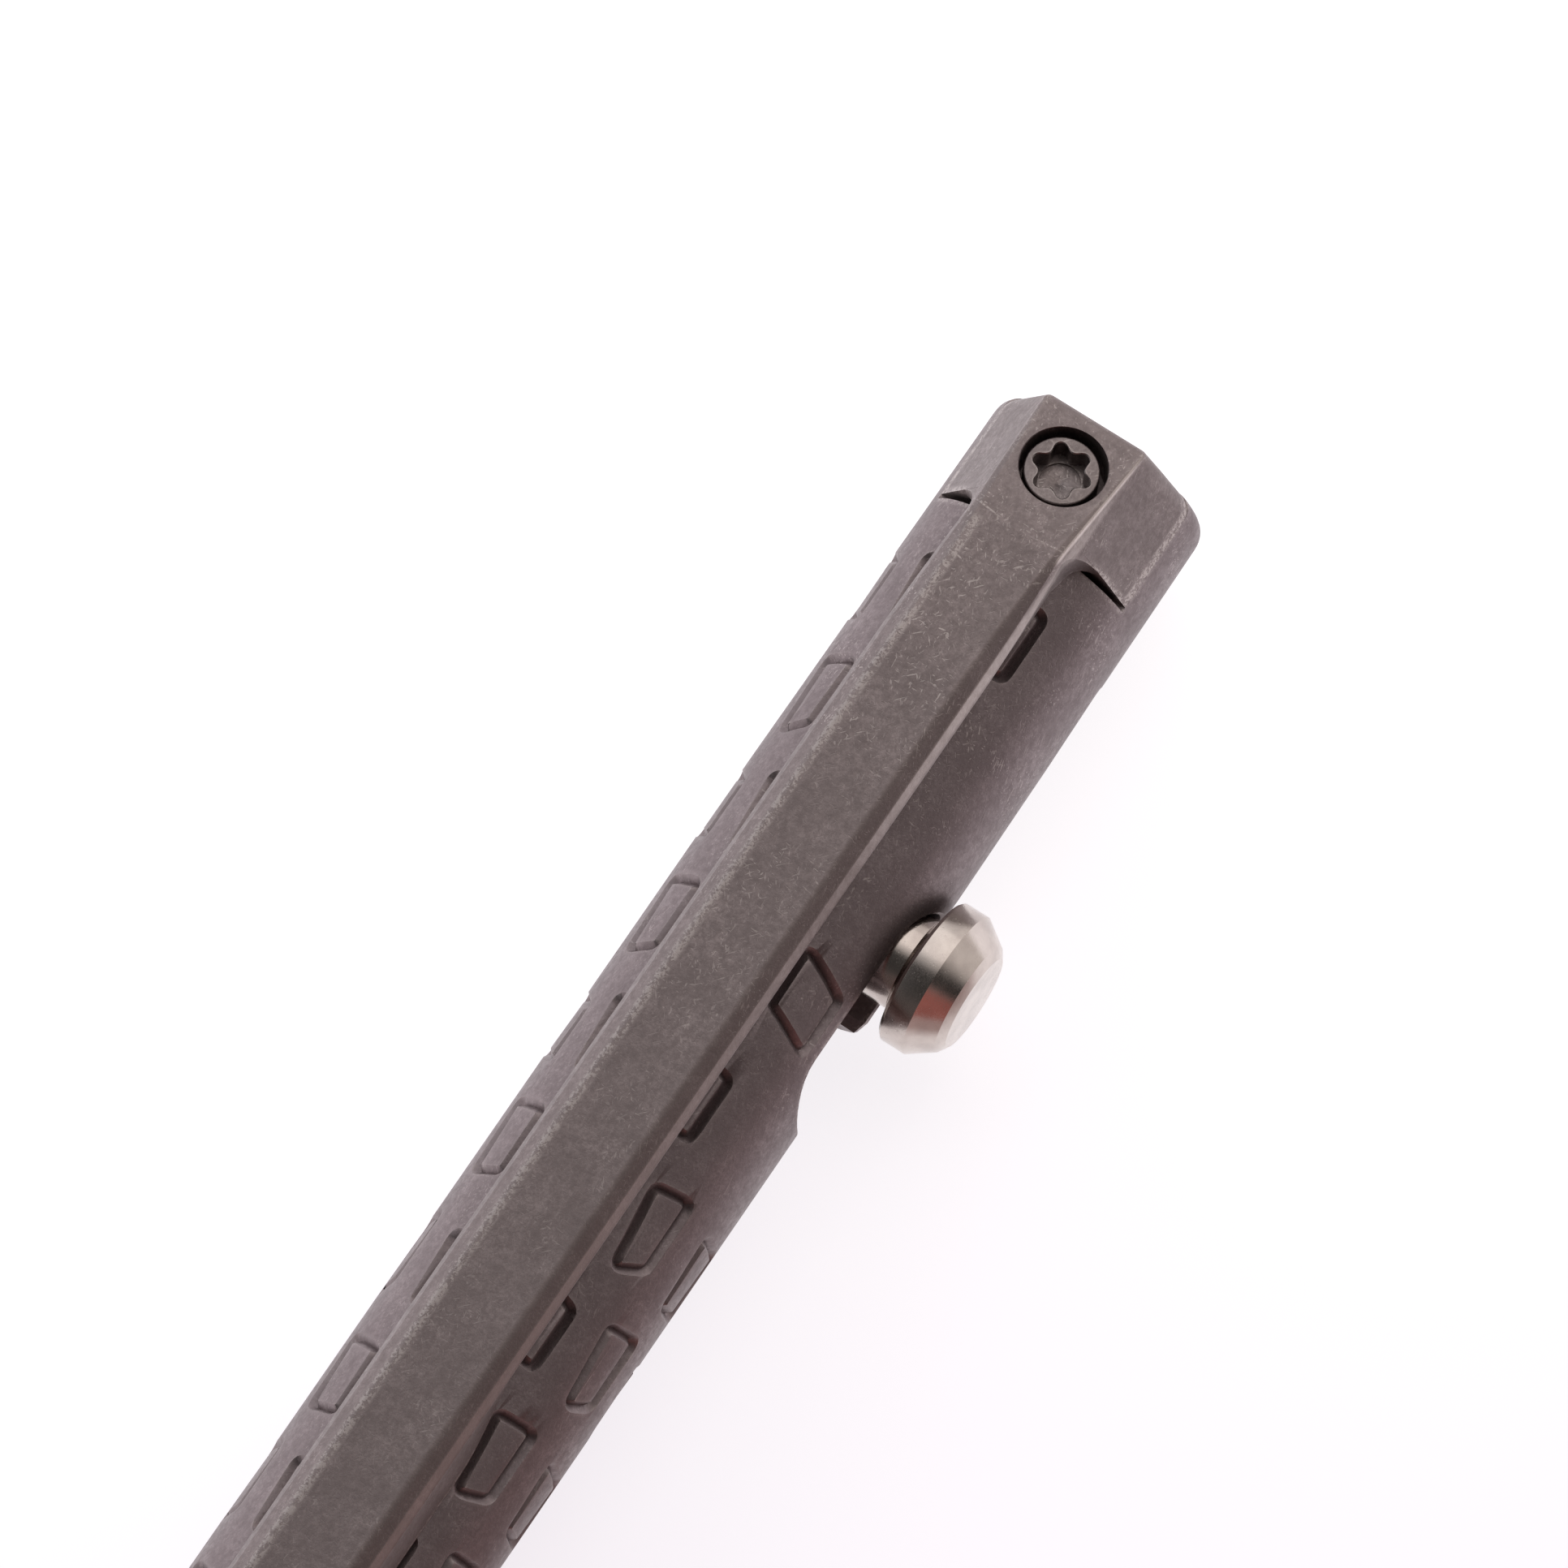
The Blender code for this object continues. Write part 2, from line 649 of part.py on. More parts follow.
def make_knob(finishes, carriage):
    """The bolt's knob: a rim, a cone and a small chamfer, bored for the stem's stud."""
    back = BARREL_RADIUS + KNOB_GAP
    rim = KNOB_DIAMETER / 2
    cone = rim - KNOB_CONE_STEP
    bore = STUD_DIAMETER / 2 + SMALL_GAP
    rim_end = back + KNOB_RIM
    cone_end = rim_end + KNOB_CONE
    face = cone_end + KNOB_CHAMFER
    bore_end = back + STUD_DEPTH + SMALL_GAP
    profile = [
        (bore_end, 0), (bore_end, bore), (back, bore), (back, rim), (rim_end, rim),
        (cone_end, cone), (face, cone - KNOB_CHAMFER), (face, 0),
    ]
    return add_object(
        "bolt_knob", turned(profile, ROUND_SIDES, "Y"), finishes["polished"], (BOLT_X, 0, 0), carriage
    )


def make_stem(finishes, carriage):
    """The bolt's stem: a shoulder that runs in the slot, with a stud at each end."""
    stud = STUD_DIAMETER / 2
    shoulder_start = PLUNGER_RADIUS + SEAT_GAP
    shoulder_end = BARREL_RADIUS + KNOB_GAP - SMALL_GAP
    low = -PLUNGER_RADIUS / 2
    high = shoulder_end + STUD_DEPTH
    profile = [
        (low, 0), (low, stud), (shoulder_start, stud), (shoulder_start, STEM_RADIUS),
        (shoulder_end, STEM_RADIUS), (shoulder_end, stud), (high, stud), (high, 0),
    ]
    return add_object(
        "bolt_stem", turned(profile, ROUND_SIDES, "Y"), finishes["polished"], (BOLT_X, 0, 0), carriage
    )


def ring_groove(centre, section_diameter, radius):
    """The profile of a square groove for a sealing ring, from rear to front."""
    half = section_diameter / 2 + SMALL_GAP
    depth = radius - section_diameter * GROOVE_DEPTH_SHARE
    return [(centre - half, radius), (centre - half, depth), (centre + half, depth), (centre + half, radius)]


def plunger_ring_places():
    """Where the plunger's two rings lie: clear of the slot at both ends of the travel."""
    inset = PLUNGER_RING_SECTION + PLUNGER_EDGE
    return [PLUNGER_START + inset, PLUNGER_END - inset]


def make_plunger(finishes, carriage):
    """The plunger that the bolt drives, with two ring grooves and the stem's cross hole."""
    radius = PLUNGER_RADIUS
    edge = PLUNGER_EDGE
    rear, front = plunger_ring_places()
    profile = [(PLUNGER_START, 0), (PLUNGER_START, radius - edge), (PLUNGER_START + edge, radius)]
    profile += ring_groove(rear, PLUNGER_RING_SECTION, radius)
    profile += ring_groove(front, PLUNGER_RING_SECTION, radius)
    profile += [(PLUNGER_END - edge, radius), (PLUNGER_END, radius - edge), (PLUNGER_END, 0)]
    plunger = add_object("plunger", turned(profile, ROUND_SIDES), finishes["screw"], parent=carriage)
    hole = STUD_DIAMETER / 2 + SMALL_GAP
    low = -PLUNGER_RADIUS / 2 - SMALL_GAP
    high = PLUNGER_RADIUS + OVERRUN
    cutter = turned([(low, 0), (low, hole), (high, hole), (high, 0)], SMALL_SIDES, "Y")
    combine(plunger, add_object("cut_stem_hole", cutter, at=(BOLT_X, 0, 0)))
    return plunger


def sealing_ring(name, material, x, section_diameter, outer_radius, parent=None):
    """A round rubber ring about the pen's axis."""
    half = section_diameter / 2
    profile = arc((0, outer_radius - half), half, 0, FULL_TURN, RING_SIDES)[:-1]
    return add_object(name, turned(profile, ROUND_SIDES), material, (x, 0, 0), parent)


def make_plunger_rings(finishes, carriage):
    """The two rings that make the plunger run quietly."""
    rear, front = plunger_ring_places()
    outer = PLUNGER_RADIUS + SMALL_GAP
    section_diameter = PLUNGER_RING_SECTION * RING_THICKNESS_SHARE
    for name, x in (("plunger_ring_rear", rear), ("plunger_ring_front", front)):
        sealing_ring(name, finishes["rubber"], x, section_diameter, outer, carriage)


def make_refill_plug(finishes, carriage):
    """The refill's rear plug: a flange, and a hollow spigot pressed into the tube."""
    outer = REFILL_RADIUS
    spigot = REFILL_INNER_RADIUS - SMALL_GAP
    inner = spigot - REFILL_WALL
    end = PLUG_FLANGE + PLUG_SPIGOT
    profile = [
        (0, 0), (0, outer - REFILL_WALL), (REFILL_WALL, outer), (PLUG_FLANGE, outer),
        (PLUG_FLANGE, spigot), (end, spigot), (end, inner), (PLUG_FLANGE, inner), (PLUG_FLANGE, 0),
    ]
    return add_object(
        "refill_end_plug", turned(profile, ROUND_SIDES), finishes["plastic"],
        (REFILL_START, 0, 0), carriage,
    )


def make_refill_tube(finishes, carriage):
    """The refill's tube, open at the rear, with a thick neck that holds the tip."""
    start = PLUG_FLANGE + SMALL_GAP
    neck = TIP_SPIGOT_DIAMETER / 2 + SMALL_GAP
    shoulder = REFILL_SHOULDER
    profile = [
        (start, REFILL_INNER_RADIUS), (start, REFILL_RADIUS),
        (shoulder - REFILL_WALL, REFILL_RADIUS), (shoulder, REFILL_RADIUS - REFILL_WALL),
        (shoulder, neck), (shoulder - REFILL_NECK_WALL, neck),
        (shoulder - REFILL_NECK_WALL, REFILL_INNER_RADIUS),
    ]
    return add_object(
        "refill_tube", turned(profile, ROUND_SIDES), finishes["tube"], (REFILL_START, 0, 0), carriage
    )


def make_refill_filling(finishes, carriage):
    """The ink, and the plug of grease that follows it down the tube."""
    radius = REFILL_INNER_RADIUS - SMALL_GAP
    front = REFILL_SHOULDER - REFILL_NECK_WALL - 2 * SEAT_GAP - REFILL_WALL
    rear = PLUG_FLANGE + PLUG_SPIGOT + EMPTY_LENGTH + GREASE_LENGTH
    ink = [(rear, 0), (rear, radius), (front, radius), (front, 0)]
    add_object("refill_ink", turned(ink, SMALL_SIDES), finishes["ink"], (REFILL_START, 0, 0), carriage)
    back = rear - SMALL_GAP - GREASE_LENGTH
    grease = [(back, 0), (back, radius), (rear - SMALL_GAP, radius), (rear - SMALL_GAP, 0)]
    add_object(
        "refill_grease", turned(grease, SMALL_SIDES), finishes["grease"], (REFILL_START, 0, 0), carriage
    )


def make_tip_holder(finishes, carriage):
    """The tip's holder: a flanged spigot in the tube's neck and a long stem with an ink channel."""
    flange_start = REFILL_SHOULDER - REFILL_NECK_WALL - SMALL_GAP - REFILL_WALL
    flange_end = flange_start + REFILL_WALL
    flange = TIP_SPIGOT_DIAMETER / 2 + REFILL_WALL
    spigot = TIP_SPIGOT_DIAMETER / 2
    stem = TIP_STEM_DIAMETER / 2
    channel = TIP_CHANNEL_DIAMETER / 2
    bore = POINT_SPIGOT_DIAMETER / 2 + SMALL_GAP
    end = REFILL_LENGTH - POINT_LENGTH
    bore_start = end - POINT_SPIGOT - SMALL_GAP
    neck = REFILL_SHOULDER + SEAT_GAP
    profile = [
        (flange_start, channel), (flange_start, flange), (flange_end, flange),
        (flange_end, spigot), (REFILL_SHOULDER, spigot), (neck, stem), (end, stem),
        (end, bore), (bore_start, bore), (bore_start, channel),
    ]
    return add_object(
        "refill_tip_holder", turned(profile, SMALL_SIDES), finishes["brass"],
        (REFILL_START, 0, 0), carriage,
    )


def make_point(finishes, carriage):
    """The writing point: a spigot in the holder, a cone, and the ball's socket."""
    start = REFILL_LENGTH - POINT_LENGTH + SMALL_GAP
    spigot_start = start - POINT_SPIGOT
    end = REFILL_LENGTH - POINT_LIP
    shoulder = POINT_DIAMETER / 2
    mouth = POINT_MOUTH_DIAMETER / 2
    channel = TIP_CHANNEL_DIAMETER / 2
    socket = BALL_DIAMETER / 2 + SMALL_GAP
    socket_floor = end - BALL_DIAMETER
    profile = [
        (spigot_start, channel), (spigot_start, POINT_SPIGOT_DIAMETER / 2),
        (start, POINT_SPIGOT_DIAMETER / 2), (start, shoulder), (start + POINT_LIP, shoulder),
        (end, mouth), (end, socket), (socket_floor, socket), (socket_floor, channel),
    ]
    return add_object(
        "refill_point", turned(profile, SMALL_SIDES), finishes["brass"], (REFILL_START, 0, 0), carriage
    )


def make_ball(finishes, carriage):
    """The ball, with its origin at its own centre."""
    bm = bmesh.new()
    bmesh.ops.create_uvsphere(
        bm, u_segments=SMALL_SIDES, v_segments=SMALL_SIDES // 2, radius=BALL_DIAMETER / 2
    )
    return add_object("refill_ball", bm, finishes["carbide"], (BALL_CENTRE, 0, 0), carriage)


def nose_profile():
    """The nose cone's outer line, from its band to its rounded tip."""
    tip = NOSE_TIP_DIAMETER / 2
    start = BARREL_LENGTH + SEAT_GAP
    edge = BARREL_MOUTH_CHAMFER
    points = [(start, BARREL_RADIUS - edge), (start + edge, BARREL_RADIUS)]
    length = PEN_LENGTH - NOSE_TIP_ROUND - start - NOSE_BAND
    for step in range(NOSE_CURVE_STEPS + 1):
        share = step / NOSE_CURVE_STEPS
        radius = tip + (BARREL_RADIUS - tip) * (1 - share**NOSE_CURVE_POWER)
        points.append((start + NOSE_BAND + length * share, radius))
    points.append((PEN_LENGTH, tip - NOSE_TIP_ROUND))
    return points


def make_nose(finishes):
    """The nose cone: a threaded spigot, a ring groove, and the stepped bore for the spring."""
    spigot = SPIGOT_DIAMETER / 2
    start = BARREL_LENGTH - SPIGOT_LENGTH
    ring = BARREL_LENGTH - NOSE_RING_INSET
    shoulder = BARREL_LENGTH + SEAT_GAP
    step_x = REFILL_START + REFILL_SHOULDER + BOLT_TRAVEL + SEAT_GAP
    profile = [(start, BORE_RADIUS), (start, spigot - SEAT_GAP), (start + SEAT_GAP, spigot)]
    profile += ring_groove(ring, NOSE_RING_SECTION, spigot)
    profile += [(shoulder, spigot)] + nose_profile()
    profile += [
        (PEN_LENGTH, NOSE_TIP_BORE / 2), (SPRING_SEAT, NOSE_TIP_BORE / 2),
        (SPRING_SEAT, SPRING_BORE_DIAMETER / 2), (step_x, SPRING_BORE_DIAMETER / 2),
        (step_x, BORE_RADIUS),
    ]
    return add_object("nose_cone", turned(profile, BARREL_SIDES), finishes["titanium"])


def make_nose_ring(finishes):
    """The ring that keeps the nose cone from working loose."""
    x = BARREL_LENGTH - NOSE_RING_INSET
    outer = SPIGOT_DIAMETER / 2 + RUN_GAP
    thickness = NOSE_RING_SECTION * RING_THICKNESS_SHARE
    return sealing_ring("nose_ring", finishes["rubber"], x, thickness, outer)


def spring_points():
    """Points of the spring's wire, ten to a curl, between its two seats."""
    radius = (SPRING_DIAMETER - SPRING_WIRE) / 2
    count = SPRING_CURLS * POINTS_PER_CURL
    rise = (SPRING_LENGTH - SPRING_WIRE - 2 * SEAT_GAP) / count
    first = SPRING_START + SPRING_WIRE / 2 + SEAT_GAP
    points = []
    for step in range(count + 1):
        angle = FULL_TURN * step / POINTS_PER_CURL
        points.append(Vector((first + rise * step, radius * math.cos(angle), radius * math.sin(angle))))
    return points


def make_spring(finishes):
    """The return spring, one unbroken wire."""
    points = spring_points()
    least = min(
        (far - near).length
        for start, near in enumerate(points)
        for far in points[start + POINTS_PER_CURL // 2:]
    )
    print(f"return_spring: least gap of the wire to itself {(least - SPRING_WIRE) / MM:.2f} mm")
    curve = bpy.data.curves.new("return_spring", "CURVE")
    curve.dimensions = "3D"
    curve.bevel_depth = SPRING_WIRE / 2
    curve.bevel_resolution = 1
    curve.use_fill_caps = True
    spline = curve.splines.new("POLY")
    spline.points.add(len(points) - 1)
    for target, point in zip(spline.points, points):
        target.co = (*point, 1)
    curve.materials.append(finishes["spring"])
    spring = bpy.data.objects.new("return_spring", curve)
    bpy.context.scene.collection.objects.link(spring)
    return spring


def make_carriage():
    """An empty on the pen's axis that carries all that the bolt moves."""
    carriage = bpy.data.objects.new("bolt_carriage", None)
    bpy.context.scene.collection.objects.link(carriage)
    carriage.location = (BOLT_X, 0, 0)
    return carriage


def main():
    """Builds the pen, piece by piece."""
    clear_scene()
    finishes = make_finishes()
    make_barrel(finishes)
    make_clip(finishes)
    make_clip_screw(finishes)
    make_nose(finishes)
    make_nose_ring(finishes)
    make_spring(finishes)
    carriage = make_carriage()
    make_knob(finishes, carriage)
    make_stem(finishes, carriage)
    make_plunger(finishes, carriage)
    make_plunger_rings(finishes, carriage)
    make_refill_plug(finishes, carriage)
    make_refill_tube(finishes, carriage)
    make_refill_filling(finishes, carriage)
    make_tip_holder(finishes, carriage)
    make_point(finishes, carriage)
    make_ball(finishes, carriage)


main()
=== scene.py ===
"""The looks of a bolt action pen of bare titanium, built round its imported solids.

Everything is in metres, in the pen's own frame: +X runs to the writing tip, +Y is
the bolt's side and +Z the clip's side, with the origin at the flat rear end.
"""

import logging
import math
from contextlib import contextmanager
from dataclasses import dataclass, field
from enum import Enum
from typing import Any, Callable, Iterator, Sequence, Union

import bmesh
import bpy
from mathutils import Matrix, Vector


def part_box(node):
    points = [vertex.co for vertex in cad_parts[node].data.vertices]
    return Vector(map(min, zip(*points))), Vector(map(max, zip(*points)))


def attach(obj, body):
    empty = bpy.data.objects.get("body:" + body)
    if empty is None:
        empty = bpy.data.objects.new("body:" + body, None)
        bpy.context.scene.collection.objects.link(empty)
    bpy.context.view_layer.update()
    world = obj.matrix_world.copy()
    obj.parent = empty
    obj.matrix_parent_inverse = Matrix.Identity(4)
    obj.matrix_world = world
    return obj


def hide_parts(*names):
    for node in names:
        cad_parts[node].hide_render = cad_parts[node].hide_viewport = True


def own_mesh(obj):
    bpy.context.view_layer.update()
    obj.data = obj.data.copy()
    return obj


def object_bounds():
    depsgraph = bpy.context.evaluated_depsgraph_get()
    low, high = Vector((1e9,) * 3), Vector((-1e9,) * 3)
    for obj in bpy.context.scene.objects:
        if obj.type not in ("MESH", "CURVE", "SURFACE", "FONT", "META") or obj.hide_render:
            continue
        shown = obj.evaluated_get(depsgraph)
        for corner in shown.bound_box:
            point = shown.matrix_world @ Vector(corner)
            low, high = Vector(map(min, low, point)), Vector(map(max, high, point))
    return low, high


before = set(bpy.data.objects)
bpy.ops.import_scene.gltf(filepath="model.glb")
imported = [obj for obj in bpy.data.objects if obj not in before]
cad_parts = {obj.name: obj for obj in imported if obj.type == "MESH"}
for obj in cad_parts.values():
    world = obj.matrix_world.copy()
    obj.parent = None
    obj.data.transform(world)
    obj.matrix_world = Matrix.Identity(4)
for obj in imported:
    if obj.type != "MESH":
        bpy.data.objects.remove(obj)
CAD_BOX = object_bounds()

logging.basicConfig(level=logging.INFO, format="%(message)s")
log = logging.getLogger("pen")

MM = 0.001
DEGREE = math.pi / 180
QUARTER = math.pi / 2
TURN = 2 * math.pi
# How near two vertices merge, and the most of a side that one rounding takes
MERGE = 0.001 * MM
SIDE_SHARE = 0.45
# Short names of types
Piece = bpy.types.Object
Material = bpy.types.Material
Span = tuple[float, float]
Triple = tuple[float, float, float]
Colour = Triple
Profile = list[Span]


class Axis(Enum):
    """The line that a turned piece is turned about."""

    PEN = (1.0, 0.0, 0.0)
    BOLT = (0.0, 1.0, 0.0)
    SCREW = (0.0, 0.0, 1.0)

    def point(self, along: float, out: float) -> Vector:
        """A point some way along this axis and some way out from it.

        Args:
            along: The distance along the axis.
            out: The distance out from it.

        Returns:
            The point.
        """
        if self is Axis.PEN:
            return Vector((along, 0, out))
        if self is Axis.BOLT:
            return Vector((0, along, out))
        return Vector((out, 0, along))


class Body(Enum):
    """The bodies that pieces ride on."""

    BARREL = "barrel_body"
    CARRIAGE = "bolt_carriage"


class Part(Enum):
    """The parts of a mesh: what Blender's edit mode and its meshes call them."""

    VERT = "verts"
    EDGE = "edges"
    FACE = "faces"


def shares(steps: int, first: int = 0) -> list[float]:
    """Even shares of a whole, the last one 1 and the first one 0 unless some are left out."""
    return [step / steps for step in range(first, steps + 1)]


def rounded(points: Sequence[Sequence[float]], radius: Any, steps: int, closed: bool = False) -> list[Any]:
    """Rounds the corners of a line of points.

    Args:
        points: The corners, in two or three coordinates.
        radius: The rounding's size, or one for each point; short sides get a smaller one.
        steps: How many pieces each rounding has.
        closed: Whether the last point joins the first.

    Returns:
        The rounded line's points, steps + 1 for each rounded corner.
    """
    made = []
    count = len(points)
    radii = radius if isinstance(radius, list) else [radius] * count
    for index, corner in enumerate(points):
        here = Vector(corner)
        if not closed and index in (0, count - 1):
            made.append(tuple(here))
            continue
        back = Vector(points[index - 1]) - here
        ahead = Vector(points[(index + 1) % count]) - here
        turn = math.pi - back.angle(ahead)
        reach = min(radii[index] * math.tan(turn / 2), SIDE_SHARE * back.length, SIDE_SHARE * ahead.length)
        start = here + back.normalized() * reach
        end = here + ahead.normalized() * reach
        for share in shares(steps):
            point = start * (1 - share) ** 2 + here * 2 * share * (1 - share) + end * share**2
            made.append(tuple(point))
    return made


class Bench:
    """Blender's own modelling tools, used on one piece at a time."""

    @staticmethod
    def pick(*pieces: Piece) -> None:
        """Selects these pieces alone, the last one active.

        Args:
            *pieces: The pieces.
        """
        bpy.ops.object.select_all(action="DESELECT")
        for piece in pieces:
            piece.select_set(True)
            bpy.context.view_layer.objects.active = piece

    @staticmethod
    @contextmanager
    def editing(piece: Piece, part: Part = Part.VERT) -> Iterator[None]:
        """Edit mode on one piece, with nothing selected at the start.

        Args:
            piece: The piece.
            part: The kind of part that can be selected.

        Yields:
            Nothing, while edit mode lasts.
        """
        Bench.pick(piece)
        bpy.ops.object.mode_set(mode="EDIT")
        bpy.ops.mesh.select_mode(type=part.name)
        bpy.ops.mesh.select_all(action="DESELECT")
        yield
        bpy.ops.object.mode_set(mode="OBJECT")

    @staticmethod
    def named(name: str) -> Piece:
        """The active piece, with its new name.

        Args:
            name: The new name.

        Returns:
            The piece.
        """
        piece = bpy.context.active_object
        piece.name = name
        piece.data.name = name
        return piece

    @staticmethod
    def select(piece: Piece, part: Part, test: Callable[[Any], bool]) -> None:
        """Selects the parts of a mesh in edit mode that pass a test.

        Args:
            piece: The piece, in edit mode.
            part: The kind of part.
            test: Whether a part is selected.
        """
        mesh = bmesh.from_edit_mesh(piece.data)
        for element in getattr(mesh, part.value):
            element.select_set(test(element))
        bmesh.update_edit_mesh(piece.data)

    @staticmethod
    def tidy(piece: Piece) -> None:
        """Merges doubles and turns every face outwards.

        Args:
            piece: The piece.
        """
        with Bench.editing(piece):
            bpy.ops.mesh.select_all(action="SELECT")
            bpy.ops.mesh.remove_doubles(threshold=MERGE)
            bpy.ops.mesh.normals_make_consistent(inside=False)

    @staticmethod
    def turn(name: str, profile: Profile, steps: int, axis: Axis = Axis.PEN) -> Piece:
        """Turns a profile about an axis through the origin.

        Args:
            name: The new piece's name.
            profile: Points as (along, out); its ends lie on the axis, or meet.
            steps: How many sides the turned piece has.
            axis: The line that it is turned about.

        Returns:
            The turned piece.
        """
        bpy.ops.object.select_all(action="DESELECT")
        bpy.ops.mesh.primitive_plane_add(size=MM)
        piece = Bench.named(name)
        points = [axis.point(*pair) for pair in profile]
        with Bench.editing(piece):
            bpy.ops.mesh.select_all(action="SELECT")
            bpy.ops.mesh.merge(type="CENTER")
            bpy.ops.transform.translate(value=points[0])
            for near, far in zip(points, points[1:]):
                bpy.ops.mesh.extrude_vertices_move(TRANSFORM_OT_translate={"value": far - near})
            bpy.ops.mesh.select_all(action="SELECT")
            bpy.ops.mesh.spin(steps=steps, angle=TURN, center=(0, 0, 0), axis=axis.value)
        Bench.tidy(piece)
        return piece

    @staticmethod
    def drawn_out(name: str, rings: Sequence[Sequence[Vector]]) -> Piece:
        """Draws a closed outline out through rings that have as many points each.

        Args:
            name: The new piece's name.
            rings: The outlines, one after another.

        Returns:
            The piece, closed at both ends.
        """
        bpy.ops.object.select_all(action="DESELECT")
        count = len(rings[0])
        bpy.ops.mesh.primitive_circle_add(vertices=count, radius=MM, fill_type="NGON")
        piece = Bench.named(name)
        with Bench.editing(piece, Part.FACE):
            bpy.ops.mesh.select_all(action="SELECT")
            mesh = bmesh.from_edit_mesh(piece.data)
            layer = mesh.verts.layers.int.new("order")
            outline = mesh.faces[:][0].loops
            for order, (loop, place) in enumerate(zip(outline, rings[0])):
                loop.vert.co = place
                loop.vert[layer] = order
            bmesh.update_edit_mesh(piece.data)
            for ring in rings[1:]:
                bpy.ops.mesh.extrude_region_move(TRANSFORM_OT_translate={"value": (MM, 0, 0)})
                mesh = bmesh.from_edit_mesh(piece.data)
                layer = mesh.verts.layers.int["order"]
                for vertex in mesh.verts:
                    if vertex.select:
                        vertex.co = ring[vertex[layer]]
                bmesh.update_edit_mesh(piece.data)
        piece.data.attributes.remove(piece.data.attributes["order"])
        Bench.tidy(piece)
        return piece

    @staticmethod
    def joined(*pieces: Piece) -> Piece:
        """Joins pieces into the first one's mesh.

        Args:
            *pieces: The pieces.

        Returns:
            The joined piece.
        """
        Bench.pick(*pieces[::-1])
        bpy.ops.object.join()
        return bpy.context.active_object

    @staticmethod
    def modified(piece: Piece, kind: str, **values: Any) -> None:
        """Adds a modifier with these values and applies it.

        Args:
            piece: The piece.
            kind: The modifier's type.
            **values: The modifier's own values.
        """
        Bench.pick(piece)
        bpy.ops.object.modifier_add(type=kind)
        modifier = piece.modifiers[-1]
        for name, value in values.items():
            setattr(modifier, name, value)
        bpy.ops.object.modifier_apply(modifier=modifier.name)

    @staticmethod
    def cut(piece: Piece, *cutters: Piece) -> None:
        """Cuts helpers out of a piece and removes them.

        Args:
            piece: The piece.
            *cutters: The helpers.
        """
        for cutter in cutters:
            Bench.modified(piece, "BOOLEAN", operation="DIFFERENCE", solver="EXACT", object=cutter)
            bpy.data.objects.remove(cutter, do_unlink=True)

    @staticmethod
    def moved(piece: Piece, place: Vector, tilt: float = 0.0) -> Piece:
        """Puts a piece in place, tilted about Y, with its place in its mesh.

        Args:
            piece: The piece.
            place: Where its origin goes.
            tilt: The angle about Y.

        Returns:
            The piece.
        """
        Bench.pick(piece)
        piece.location = place
        piece.rotation_euler.y = tilt
        bpy.ops.object.transform_apply(location=True, rotation=True, scale=True)
        return piece

    @staticmethod
    def smooth(piece: Piece, angle: float = 30 * DEGREE) -> None:
        """Shades a piece smooth, with its corners kept and its flats flat.

        Args:
            piece: The piece.
            angle: The least angle that stays a corner.
        """
        Bench.pick(piece)
        bpy.ops.object.shade_smooth_by_angle(angle=angle)
        Bench.modified(piece, "WEIGHTED_NORMAL", mode="FACE_AREA", weight=100, keep_sharp=True)


@dataclass(frozen=True)
class Cloud:
    """Noise, by its waves in a millimetre, its detail and its roughness."""

    per_mm: float
    detail: float
    rough: float = 0.5


class Wire:
    """One shader socket, which takes part in sums as a number does."""

    def __init__(self, graph: "Graph", socket: bpy.types.NodeSocket) -> None:
        """Wraps a socket of a graph."""
        self.graph = graph
        self.socket = socket

    def __add__(self, other: "Operand") -> "Wire":
        """Adds."""
        return self.graph.maths("ADD", self, other)

    __radd__ = __add__

    def __mul__(self, other: "Operand") -> "Wire":
        """Multiplies."""
        return self.graph.maths("MULTIPLY", self, other)

    __rmul__ = __mul__

    def __sub__(self, other: "Operand") -> "Wire":
        """Takes away."""
        return self.graph.maths("SUBTRACT", self, other)

    def __rsub__(self, other: "Operand") -> "Wire":
        """Is taken away from another."""
        return self.graph.maths("SUBTRACT", other, self)


Operand = Union[Wire, float]


